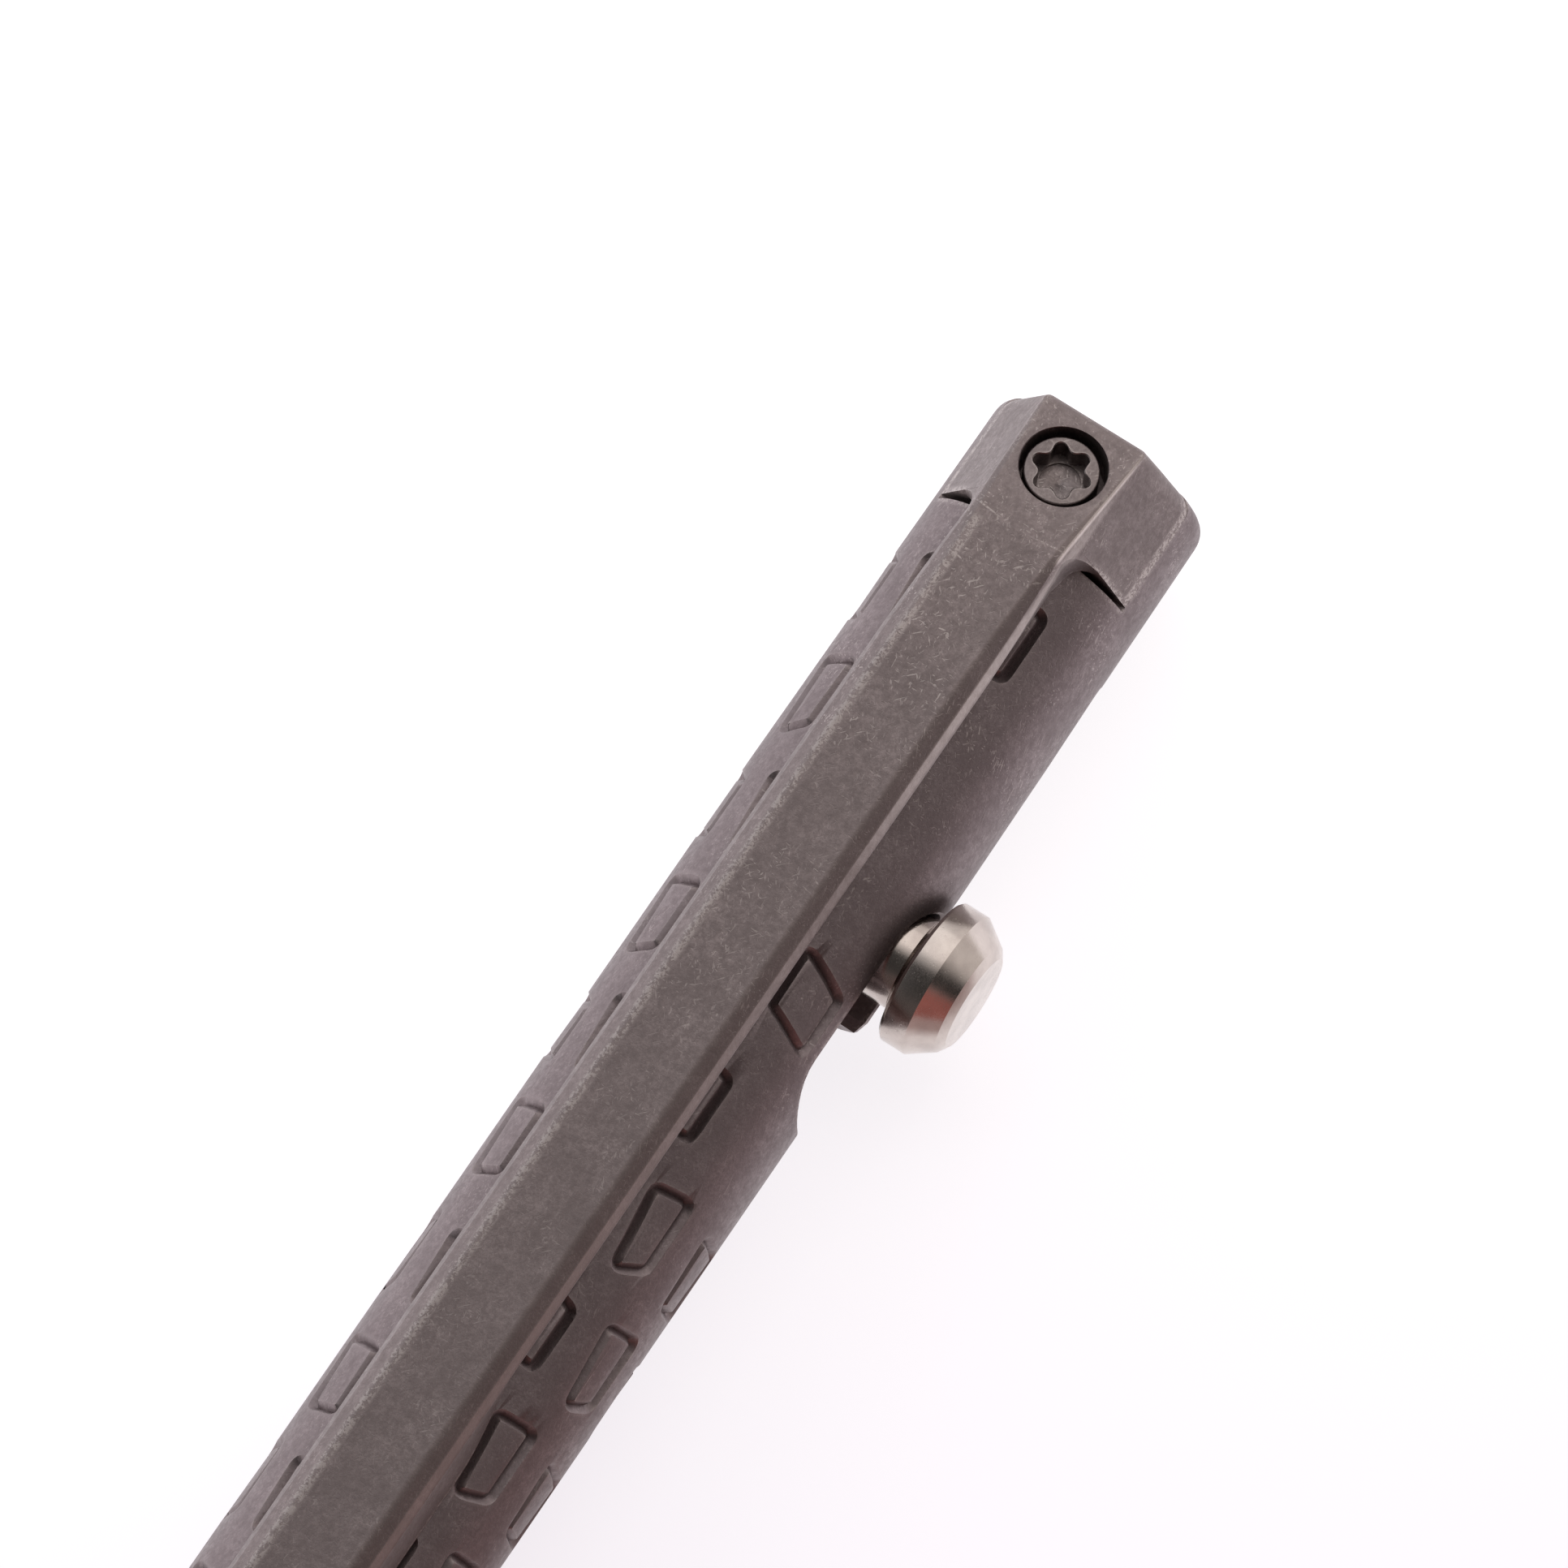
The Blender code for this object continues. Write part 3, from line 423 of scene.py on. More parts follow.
class Graph:
    """A material's nodes, added one call at a time."""

    def __init__(self, name: str) -> None:
        """Starts a material with a Principled shader.

        Args:
            name: The material's name.
        """
        self.material = bpy.data.materials.new(name)
        self.material.use_nodes = True
        self.tree = self.material.node_tree
        self.shader = self.tree.nodes["Principled BSDF"]
        self.place = self.node("ShaderNodeTexCoord", out="Object")

    @classmethod
    def around(cls, world: bpy.types.World) -> "Graph":
        """The nodes of a world, read by the direction looked in.

        Args:
            world: The world, which uses nodes.

        Returns:
            The graph, its shader the world's background.
        """
        graph = cls.__new__(cls)
        graph.tree = world.node_tree
        graph.shader = graph.tree.nodes["Background"]
        graph.place = graph.node("ShaderNodeTexCoord", out="Generated")
        return graph

    def put(self, socket: bpy.types.NodeSocket, value: Any) -> None:
        """Links a wire to a socket, or sets the socket's value.

        Args:
            socket: The socket.
            value: A wire, a number, a vector or a colour.
        """
        if isinstance(value, Wire):
            self.tree.links.new(value.socket, socket)
        else:
            socket.default_value = value

    def node(self, kind: str, out: Union[str, int] = 0, inputs: Any = None, **settings: Any) -> Wire:
        """Adds a node.

        Args:
            kind: The node's type.
            out: The output that the wire takes.
            inputs: Values or wires by socket name or number.
            **settings: The node's own settings, set first.

        Returns:
            The wire from the chosen output.
        """
        made = self.tree.nodes.new(kind)
        for name, value in settings.items():
            setattr(made, name, value)
        for name, value in (inputs or {}).items():
            self.put(made.inputs[name], value)
        return Wire(self, made.outputs[out])

    def maths(self, operation: str, *values: Operand) -> Wire:
        """A Math node."""
        return self.node("ShaderNodeMath", operation=operation, inputs=dict(enumerate(values)))

    def along(self, axis: str) -> Wire:
        """One coordinate of the place: X, Y or Z."""
        return self.node("ShaderNodeSeparateXYZ", out=axis, inputs={0: self.place})

    def spread(self, value: Wire, span: Span, to: Span = (0.0, 1.0)) -> Wire:
        """Spreads a range of a value smoothly over another range."""
        ends = {"Value": value, "From Min": span[0], "From Max": span[1], "To Min": to[0], "To Max": to[1]}
        return self.node("ShaderNodeMapRange", interpolation_type="SMOOTHSTEP", inputs=ends)

    def noise(self, cloud: Cloud, place: Any = None) -> Wire:
        """Noise over the piece, or over a place of its own.

        Args:
            cloud: The noise's waves, detail and roughness.
            place: Where it is read, when not on the piece.

        Returns:
            The noise.
        """
        scale, where = cloud.per_mm / MM, place or self.place
        settings = {"Vector": where, "Scale": scale, "Detail": cloud.detail, "Roughness": cloud.rough}
        return self.node("ShaderNodeTexNoise", inputs=settings)

    def stretched(self, turn: Sequence[float], scale: Sequence[float]) -> Wire:
        """The place on the piece, turned and then stretched along the turned axes."""
        inputs = {"Vector": self.place, "Rotation": turn, "Scale": scale}
        return self.node("ShaderNodeMapping", vector_type="TEXTURE", inputs=inputs)

    def mix(self, share: Operand, first: Any, second: Any) -> Wire:
        """A colour between two.

        Args:
            share: How much of the second colour there is.
            first: A colour or a wire.
            second: A colour or a wire.

        Returns:
            The mixed colour.
        """
        made = self.tree.nodes.new("ShaderNodeMix")
        made.data_type = "RGBA"
        sockets = [made.inputs[0]] + [socket for socket in made.inputs if socket.type == "RGBA"]
        for socket, value in zip(sockets, (share, first, second)):
            self.put(socket, (*value, 1) if isinstance(value, tuple) else value)
        return Wire(self, next(socket for socket in made.outputs if socket.type == "RGBA"))

    def worn(self, reach: float) -> Wire:
        """How near a point is to an outer edge, from 0 to 1.

        Args:
            reach: How far away the edge still counts.

        Returns:
            The share of the metal's inside that is hidden from the point.
        """
        seen = self.node(
            "ShaderNodeAmbientOcclusion", out="AO", samples=8, inside=True, only_local=True,
            inputs={"Distance": reach},
        )
        return 1 - seen

    def bump(self, height: Wire, distance: float, strength: float) -> Wire:
        """Relief from a height."""
        inputs = {"Height": height, "Distance": distance, "Strength": strength}
        return self.node("ShaderNodeBump", inputs=inputs)

    def dress(self, **sockets: Any) -> Material:
        """Sets the shader's sockets.

        Args:
            **sockets: Values or wires by socket name, with underscores for spaces.

        Returns:
            The material.
        """
        for name, value in sockets.items():
            value = (*value, 1) if name == "Base_Color" and isinstance(value, tuple) else value
            self.put(self.shader.inputs[name.replace("_", " ")], value)
        return self.material


@dataclass(frozen=True)
class WearAndHighlightLine:
    """A straight line painted lighter on the clip, seen from above it, in millimetres: some are wear, the
    others painted highlights.
    """

    start: Span
    end: Span
    half: float
    share: float = 1.0
    fade: float = 0.3
    core: float = 0.3

    def mask(self, graph: Graph) -> Wire:
        """How much the line covers a place.

        Args:
            graph: The material's nodes.

        Returns:
            A value from 0 to the line's share.
        """
        x, y, half, fade = (size * MM for size in (*self.start, self.half, self.fade))
        end = self.end[0] * MM
        slope = (self.end[1] - self.start[1]) / (self.end[0] - self.start[0])
        along = graph.along("X")
        away = graph.maths("ABSOLUTE", graph.along("Y") - (along - x) * slope - y)
        near = graph.spread(away, (half, half * self.core), (0.0, self.share))
        started = graph.spread(along, (x - fade, x + fade))
        return near * started * graph.spread(along, (end + fade, end - fade))


@dataclass(frozen=True)
class Stonewash:
    """Bare titanium tumbled with stones: dull, mottled, finely scratched, bright at its worn edges, and on
    the clip with painted highlight lines.
    """

    name: str = "stonewashed_titanium"
    colour: Colour = (0.29, 0.242, 0.247)
    deep: Colour = (0.195, 0.159, 0.163)
    bright: Colour = (0.8, 0.72, 0.69)
    roughness: float = 0.47
    wear_reach: float = 0.34 * MM
    wear_span: Span = (0.05, 0.26)
    wear_share: float = 0.28
    wear_gloss: float = 0.15
    # Lines joined to the edge wear and speckled with it: wear at the clip's bend, wear with a painted
    # highlight along its left top edge.
    broken: tuple[WearAndHighlightLine, ...] = ()
    # Painted highlights: lighter lines where the clip's seam and side strip catch light.
    painted_highlights: tuple[WearAndHighlightLine, ...] = ()
    top_span: Span = (6.6 * MM, 7.0 * MM)
    spared: float = 0.0
    spared_span: Span = (2.15 * MM, 2.4 * MM)
    tone: Cloud = Cloud(0.5, 3)
    tone_span: Span = (0.3, 0.7)
    tone_share: Span = (0.3, 1.0)
    grain: Cloud = Cloud(2.6, 5, 0.72)
    grain_span: Span = (0.38, 0.62)
    grain_share: Span = (0.0, 0.55)
    fine: Cloud = Cloud(8.0, 2, 0.7)
    fine_span: Span = (0.36, 0.64)
    fine_share: Span = (0.0, 0.6)
    speck_span: Span = (0.45, 0.55)
    speck_share: Span = (0.06, 1.0)
    patch: Cloud = Cloud(0.45, 3)
    patch_span: Span = (0.4, 0.68)
    patch_share: Span = (0.05, 0.31)
    strokes: Cloud = Cloud(1.7, 1)
    stroke_span: Span = (0.66, 0.74)
    stroke_wide: float = 0.2
    stroke_ways: tuple[tuple[Triple, float], ...] = (
        ((0.0, 0.15, 0.6), 0.9), ((0.3, -0.1, -0.75), 1.2), ((-0.3, 0.2, 1.5), 0.7), ((0.8, 0.3, 0.15), 1.4),
    )
    fading_span: Span = (10 * MM, 42 * MM)
    fading_share: Span = (1.0, 0.45)
    rough_span: Span = (0.25, 0.75)
    rough_less: float = 0.06
    rough_more: float = 0.08
    swell: Cloud = Cloud(1.6, 2)
    swell_height: float = 0.9
    grain_height: float = 0.7
    fine_height: float = 0.5
    stroke_depth: float = 0.3
    relief: float = 0.016 * MM
    relief_share: float = 0.7

    def make(self) -> Material:
        """Builds the material.

        Returns:
            The material.
        """
        graph = Graph(self.name)
        grain, fine = graph.noise(self.grain), graph.noise(self.fine)
        marks = self.scratches(graph)
        edges = graph.spread(graph.worn(self.wear_reach), self.wear_span)
        if self.spared:
            edges = edges * self.sparing(graph)
        # The broken lines join the edge wear; on the clip the left one carries a painted highlight too.
        edges = self.with_lines(graph, edges, self.broken)
        speck = graph.spread(grain * 0.5 + fine * 0.5, self.speck_span, self.speck_share)
        wear = edges * speck * self.wear_share
        tone = graph.spread(graph.noise(self.tone), self.tone_span, self.tone_share)
        base = graph.mix(tone, self.deep, self.colour)
        base = graph.mix(graph.spread(grain, self.grain_span, self.grain_share), base, self.deep)
        base = graph.mix(graph.spread(fine, self.fine_span, self.fine_share), base, self.deep)
        patch = graph.spread(graph.noise(self.patch), self.patch_span, self.patch_share)
        # Scratches and wear, with the painted highlight lines laid over them.
        light = self.with_lines(graph, graph.maths("MAXIMUM", marks * patch, wear), self.painted_highlights)
        ends = (self.roughness - self.rough_less, self.roughness + self.rough_more)
        rough = graph.spread(grain, self.rough_span, ends)
        height = grain * self.grain_height + fine * self.fine_height
        height = height + graph.noise(self.swell) * self.swell_height - marks * self.stroke_depth
        return graph.dress(
            Base_Color=graph.mix(light, base, self.bright), Metallic=1.0,
            Roughness=rough - wear * self.wear_gloss,
            Normal=graph.bump(height, self.relief, self.relief_share),
        )

    def with_lines(self, graph: Graph, share: Wire, lines: Sequence[WearAndHighlightLine]) -> Wire:
        """Adds the upper side's lines, worn ones and painted highlights, to a share.

        Args:
            graph: The material's nodes.
            share: How much a place is lightened without them.
            lines: The lines of wear and of painted highlight.

        Returns:
            How much a place is worn with them.
        """
        if not lines:
            return share
        above = graph.spread(graph.along("Z"), self.top_span)
        for line in lines:
            share = graph.maths("MAXIMUM", share, line.mask(graph) * above)
        return share

    def sparing(self, graph: Graph) -> Wire:
        """Nothing close round the clip's screw, and one further away.

        Args:
            graph: The material's nodes.

        Returns:
            The share of the wear that stays.
        """
        flat = graph.node("ShaderNodeVectorMath", operation="MULTIPLY", inputs={0: graph.place, 1: (1, 1, 0)})
        ends = {0: flat, 1: (self.spared, 0, 0)}
        away = graph.node("ShaderNodeVectorMath", out="Value", operation="DISTANCE", inputs=ends)
        return graph.spread(away, self.spared_span)

    def scratches(self, graph: Graph) -> Wire:
        """Short light strokes that run every way, fainter further from the rear end.

        Args:
            graph: The material's nodes.

        Returns:
            How much a stroke covers a place, from 0 to 1.
        """
        made: Operand = 0.0
        for turn, long in self.stroke_ways:
            place = graph.stretched(turn, (long, self.stroke_wide, self.stroke_wide))
            stroke = graph.spread(graph.noise(self.strokes, place), self.stroke_span)
            made = graph.maths("MAXIMUM", made, stroke)
        return made * graph.spread(graph.along("X"), self.fading_span, self.fading_share)


@dataclass(frozen=True)
class Satin:
    """Turned titanium with a satin polish."""

    name: str = "polished_titanium"
    colour: Colour = (0.62, 0.555, 0.515)
    deep: Colour = (0.5, 0.44, 0.41)
    roughness: float = 0.19
    tone: Cloud = Cloud(0.8, 3)
    fine: Cloud = Cloud(16.0, 1)
    nicks: Cloud = Cloud(5.0, 2)
    span: Span = (0.3, 0.7)
    nick_span: Span = (0.66, 0.72)
    rough_less: float = 0.03
    rough_more: float = 0.06
    nick_rough: float = 0.1
    relief: float = 0.004 * MM
    relief_share: float = 0.35

    def make(self) -> Material:
        """Builds the material.

        Returns:
            The material.
        """
        graph = Graph(self.name)
        fine = graph.noise(self.fine)
        nicks = graph.spread(graph.noise(self.nicks), self.nick_span)
        ends = (self.roughness - self.rough_less, self.roughness + self.rough_more)
        return graph.dress(
            Base_Color=graph.mix(graph.spread(graph.noise(self.tone), self.span), self.deep, self.colour),
            Metallic=1.0, Roughness=graph.spread(fine, self.span, ends) + nicks * self.nick_rough,
            Normal=graph.bump(fine * 0.5 - nicks, self.relief, self.relief_share),
        )


@dataclass(frozen=True)
class Plain:
    """A finish with one colour that clouds a little, and fine relief."""

    name: str
    colour: Colour
    roughness: float
    metallic: float = 0.0
    grain: Cloud = Cloud(6.0, 3)
    span: Span = (0.3, 0.7)
    shade: float = 0.7
    rough_swing: float = 0.15
    relief: float = 0.002 * MM
    relief_share: float = 0.5

    def make(self) -> Material:
        """Builds the material.

        Returns:
            The material.
        """
        graph = Graph(self.name)
        grain = graph.noise(self.grain)
        dark = tuple(self.shade * part for part in self.colour)
        ends = (self.roughness * (1 - self.rough_swing), self.roughness * (1 + self.rough_swing))
        return graph.dress(
            Base_Color=graph.mix(graph.spread(grain, self.span), dark, self.colour), Metallic=self.metallic,
            Roughness=graph.spread(grain, self.span, ends),
            Normal=graph.bump(grain, self.relief, self.relief_share),
        )


class Finishes:
    """Every finish of the pen, each made once."""

    def __init__(self) -> None:
        """Makes the materials."""
        self.titanium = Stonewash().make()
        # Along the top's left edge, which faces the light: speckled wear with a painted highlight in it.
        left = WearAndHighlightLine((7.0, -1.72), (66.0, -1.72), 0.34, 0.75)
        bend = [WearAndHighlightLine((6.42, side * 2.3), (6.58, side * 1.1), 0.5, 0.9, 0.12) for side in (-1, 1)]
        # Painted highlights: a line along the head's seam, and the arm's side strip lit as if it mirrored the
        # floor, brighter towards the rear.
        seam_highlight = WearAndHighlightLine((0.1, 2.6), (7.0, 2.27), 0.1, 0.65)
        strip = WearAndHighlightLine((6.5, 2.53), (64.0, 2.53), 0.2, 0.16, 2.0)
        rear_strip_highlight = WearAndHighlightLine((6.5, 2.53), (20.0, 2.53), 0.2, 0.5, 12.0)
        self.clip = Stonewash(
            "clip_titanium", (0.275, 0.229, 0.227), (0.185, 0.152, 0.15), wear_reach=0.5 * MM,
            wear_span=(0.07, 0.32), wear_share=0.42, broken=(left, *bend), painted_highlights=(seam_highlight, strip, rear_strip_highlight),
            spared=3.0 * MM,
        ).make()
        self.screw = Stonewash(
            "screw_steel", (0.28, 0.24, 0.234), (0.16, 0.133, 0.131), (0.72, 0.65, 0.62), 0.38, 0.14 * MM
        ).make()
        self.polished = Satin().make()
        self.plunger = Satin("plunger_titanium", (0.4, 0.37, 0.35), (0.3, 0.27, 0.26), 0.32).make()
        self.rubber = Plain("seal_rubber", (0.025, 0.025, 0.027), 0.62).make()
        self.tube = Plain("refill_steel", (0.62, 0.62, 0.63), 0.26, 1.0).make()
        self.plastic = Plain("plug_plastic", (0.035, 0.035, 0.04), 0.42).make()
        self.ink = Plain("ink", (0.012, 0.012, 0.02), 0.25).make()
        self.grease = Plain("clear_grease", (0.7, 0.66, 0.5), 0.3).make()
        self.brass = Plain("tip_brass", (0.74, 0.55, 0.28), 0.28, 1.0).make()
        self.carbide = Plain("ball_carbide", (0.4, 0.4, 0.42), 0.14, 1.0).make()
        self.spring = Plain("spring_steel", (0.66, 0.66, 0.66), 0.24, 1.0).make()


def hand_over(piece: Piece, node: str, body: Body, finish: Material) -> None:
    """Puts a finished piece in its node's place.

    Args:
        piece: The finished piece.
        node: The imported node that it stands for.
        body: The body that it rides on.
        finish: Its material.
    """
    piece.data.materials.clear()
    piece.data.materials.append(finish)
    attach(piece, body.value)
    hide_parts(node)
    log.info("%s: %d faces", piece.name, len(piece.data.polygons))


@dataclass
class Barrel:
    """The barrel: a rolled sheet of milled pockets between a turned rear end and mouth."""

    sides: int = 128
    rear_taper: float = 0.15 * MM
    taper_length: float = 20.0 * MM
    rear_round: float = 1.0 * MM
    bore_start: float = 10.4 * MM
    bore: float = 3.3 * MM
    mouth_edge: float = 0.25 * MM
    socket: float = 4.4 * MM
    socket_length: float = 8.1 * MM
    ring_seat: float = 4.9 * MM
    ring_seat_length: float = 2.6 * MM
    slot_start: float = 21.25 * MM
    slot_end: float = 32.5 * MM
    slot_half: float = 2.4 * MM
    notch_length: float = 5.4 * MM
    notch_corner: float = 0.5 * MM
    lock_turn: float = 35 * DEGREE
    rim: float = 0.14 * MM
    seat_height: float = 2.4 * MM
    seat_length: float = 5.95 * MM
    overrun: float = 2.0 * MM
    columns: int = 8
    pitch: float = 6.0 * MM
    first_row: float = 10.5 * MM
    front_margin: float = 5.0 * MM
    start_turn: float = -5.625 * DEGREE
    plain_turn: float = 61.875 * DEGREE
    smooth_margin: float = 3.0 * MM
    smooth_side: float = 2.4 * MM
    smooth_wide: float = 4.8 * MM
    smooth_rear: float = 9.25 * MM
    pocket_long: float = 4.8 * MM
    pocket_wide: float = 3.5 * MM
    pocket_skew: float = 1.2 * MM
    least_share: float = 0.36
    spread_share: float = 0.12
    golden_share: float = 0.618034
    groove_depth: float = 0.32 * MM
    wall_run: float = 0.27 * MM
    middle_rise: float = 0.26 * MM
    floor_tilt: float = 0.04 * MM
    wall_round: float = 0.09 * MM
    corner_round: float = 0.7 * MM
    corner_steps: int = 6
    rear_steps: int = 10
    slot_steps: int = 16
    notch_steps: int = 4
    wall_steps: int = 3
    flat_least: float = 0.95
    wall_most: float = 0.9
    smooth_angle: float = 24 * DEGREE
    length: float = field(init=False)
    radius: float = field(init=False)

    def __post_init__(self) -> None:
        """Reads the barrel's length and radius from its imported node."""
        low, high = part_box("barrel")
        self.length = high.x - low.x
        self.radius = -low.z

    def radius_at(self, x: float) -> float:
        """The outer radius at a distance from the rear end."""
        share = min(max(x / self.taper_length, 0.0), 1.0)
        return self.radius - self.rear_taper * (1 - share)

    @property
    def cell(self) -> float:
        """A pocket cell's width round the barrel."""
        return TURN * self.radius / self.columns

    def rows(self) -> list[float]:
        """Where the rows of pockets lie along the barrel.

        Returns:
            Each row's distance from the rear end.
        """
        end = self.length - self.socket_length - self.front_margin
        count = math.ceil((end - self.first_row) / self.pitch)
        return [self.first_row + self.pitch * row for row in range(count)]

    def near_bolt(self, x: float, angle: float) -> bool:
        """Whether a pocket there would come into the smooth zone round the slot, wider at its rear.

        Args:
            x: The distance from the rear end.
            angle: The turn from the clip's side to the bolt's.

        Returns:
            Whether it would.
        """
        along = self.slot_start - self.smooth_rear < x < self.slot_end + self.smooth_margin
        wide = self.smooth_wide if x < self.slot_start + self.slot_half else self.smooth_side
        spare = (self.slot_half + wide) / self.radius
        return along and QUARTER - spare < angle < QUARTER + self.lock_turn + spare

    def pocket(self, index: int) -> Profile:
        """A pocket's corners, as offsets along the barrel and round it.

        Args:
            index: The pocket's number.

        Returns:
            The four corners.
        """
        first = (index * self.golden_share) % 1
        second = (index * self.golden_share * self.golden_share) % 1
        half_long = self.pocket_long * (self.least_share + self.spread_share * first)
        half_wide = self.pocket_wide * (self.least_share + self.spread_share * second)
        slant = self.pocket_skew * (second - first) / 2
        pinch = self.pocket_skew * first / 2
        return [
            (-half_long - slant, -half_wide),
            (half_long - slant, -half_wide + pinch),
            (half_long + slant, half_wide),
            (-half_long + slant + pinch, half_wide),
        ]

    def row_sheet(self, row: int, x: float) -> Piece:
        """One row of the flat sheet, its pockets sunk, before it is rolled.

        Args:
            row: The row's number.
            x: The row's distance from the rear end.

        Returns:
            The row's sheet.
        """
        shift = (row + 1) % 2 / 2 + self.start_turn * self.columns / TURN
        bpy.ops.object.select_all(action="DESELECT")
        bpy.ops.mesh.primitive_grid_add(x_subdivisions=1, y_subdivisions=self.columns, size=1)
        sheet = Bench.named(f"row_{row}")
        middle = self.cell * (shift + (self.columns - 1) / 2)
        with Bench.editing(sheet, Part.FACE):
            bpy.ops.mesh.select_all(action="SELECT")
            bpy.ops.transform.resize(value=(self.pitch, self.cell * self.columns, 1))
            bpy.ops.transform.translate(value=(x, middle, 0))
            places = {}
            for column in range(self.columns):
                index = row * self.columns + column + 1
                angle = TURN * (column + shift) / self.columns
                plain = row == 0 and abs(angle - self.plain_turn) < TURN / (2 * self.columns)
                if not plain and not self.near_bolt(x, angle):
                    places[column] = index
            Bench.select(sheet, Part.FACE, lambda face: self.column_of(face, shift) in places)
            bpy.ops.mesh.inset(thickness=self.wall_round, use_individual=True)
            self.shape_pockets(sheet, x, places, shift)
            bpy.ops.mesh.inset(thickness=self.wall_run, depth=-self.groove_depth, use_individual=True)
            self.tilt_floors(sheet, places, shift)
            bpy.ops.mesh.inset(thickness=self.wall_run, depth=self.middle_rise, use_individual=True)
        return sheet

    def column_of(self, face: bmesh.types.BMFace, shift: float) -> int:
        """The column of the cell that a face lies in."""
        return round(face.calc_center_median().y / self.cell - shift)

    def shape_pockets(self, sheet: Piece, x: float, places: dict[int, int], shift: float) -> None:
        """Gives each inset face its pocket's own outline, with round corners.

        Args:
            sheet: The row's sheet, in edit mode, its pockets' faces selected.
            x: The row's distance from the rear end.
            places: Each pocket's number, by column.
            shift: How far the row's columns are shifted, in cells.
        """
        mesh = bmesh.from_edit_mesh(sheet.data)
        inner = [face for face in mesh.faces if face.select]
        edges = [edge for face in inner for edge in face.edges]
        bmesh.ops.bisect_edges(mesh, edges=edges, cuts=self.corner_steps)
        for face in inner:
            column = self.column_of(face, shift)
            index = places[column]
            wander = ((((index - 1) * self.golden_share) % 1) - 1 / 2) * (self.pitch - self.pocket_long) / 2
            centre = Vector((x + wander, self.cell * (column + shift), 0))
            line = rounded(self.pocket(index), self.corner_round, self.corner_steps, closed=True)
            loops = face.loops[:]
            first = min(range(len(loops)), key=lambda place: sum(loops[place].vert.co[:2]))
            half = self.corner_steps // 2
            for order, (along, across) in enumerate(line):
                loop = loops[(first + order - half) % len(loops)]
                loop.vert.co = centre + Vector((along, across, 0))
        bmesh.update_edit_mesh(sheet.data)

    def tilt_floors(self, sheet: Piece, places: dict[int, int], shift: float) -> None:
        """Leans each pocket's floor its own way.

        Args:
            sheet: The row's sheet, in edit mode, its pockets' faces selected.
            places: Each pocket's number, by column.
            shift: How far the row's columns are shifted, in cells.
        """
        mesh = bmesh.from_edit_mesh(sheet.data)
        for face in mesh.faces:
            if not face.select:
                continue
            centre = face.calc_center_median()
            turn = TURN * self.golden_share * places[self.column_of(face, shift)]
            lean = Vector((math.cos(turn), math.sin(turn)))
            for vertex in face.verts:
                away = (vertex.co - centre).to_2d()
                vertex.co.z += self.floor_tilt * away.dot(lean) / (self.pocket_wide / 2)
        bmesh.update_edit_mesh(sheet.data)

    def grip(self) -> Piece:
        """The sheet of pockets, its edges softened, rolled into a tube.

        Returns:
            The tube of pockets.
        """
        rows = self.rows()
        sheet = Bench.joined(*[self.row_sheet(row, x) for row, x in enumerate(rows)])
        sheet.name = "barrel_skin"
        with Bench.editing(sheet, Part.EDGE):
            Bench.select(sheet, Part.EDGE, self.is_pocket_edge)
            bpy.ops.mesh.bevel(offset=self.wall_round, segments=self.wall_steps, clamp_overlap=True)
            self.cut_strips(sheet)
        for vertex in sheet.data.vertices:
            x, round_it, up = vertex.co
            angle = round_it / self.radius
            out = self.radius_at(x) + up
            vertex.co = (x, out * math.sin(angle), out * math.cos(angle))
        return sheet

    def is_pocket_edge(self, edge: bmesh.types.BMEdge) -> bool:
        """Whether a wall meets the skin or a floor there."""
        steep = [face.normal.z for face in edge.link_faces]
        return len(steep) == 2 and max(steep) > self.flat_least and min(steep) < self.wall_most

    def cut_strips(self, sheet: Piece) -> None:
        """Cuts the flat sheet into as many strips as the tube has sides.

        Args:
            sheet: The flat sheet, in edit mode.
        """
        mesh = bmesh.from_edit_mesh(sheet.data)
        strip = TURN * self.radius / self.sides
        across = [vertex.co.y for vertex in mesh.verts]
        first, last = math.floor(min(across) / strip), math.ceil(max(across) / strip)
        for number in range(first + 1, last):
            geometry = mesh.verts[:] + mesh.edges[:] + mesh.faces[:]
            place = (0, number * strip, 0)
            bmesh.ops.bisect_plane(mesh, geom=geometry, dist=MERGE, plane_co=place, plane_no=(0, 1, 0))
        bmesh.update_edit_mesh(sheet.data)

    def rear(self) -> Piece:
        """The rear end, turned, up to the first row of pockets.

        Returns:
            The rear end, open at its front.
        """
        edge = self.rows()[0] - self.pitch / 2
        end = self.radius_at(0)
        corners = [(0, 0), (0, end), (edge, self.radius_at(edge))]
        profile = rounded(corners, self.rear_round, self.rear_steps)
        return Bench.turn("rear", profile, self.sides)

    def front(self) -> Piece:
        """The bore, the socket for the nose cone and the mouth, in one turned skin.

        Returns:
            The turned skin.
        """
        edge = self.rows()[-1] + self.pitch / 2
        socket_start = self.length - self.socket_length
        ring_start = self.length - self.ring_seat_length
        profile = [
            (self.bore_start, 0), (self.bore_start, self.bore), (socket_start, self.bore),
            (socket_start, self.socket), (ring_start, self.socket), (ring_start, self.ring_seat),
            (self.length, self.ring_seat), (self.length, self.radius - self.mouth_edge),
            (self.length - self.mouth_edge, self.radius), (edge, self.radius),
        ]
        return Bench.turn("front", profile, self.sides)

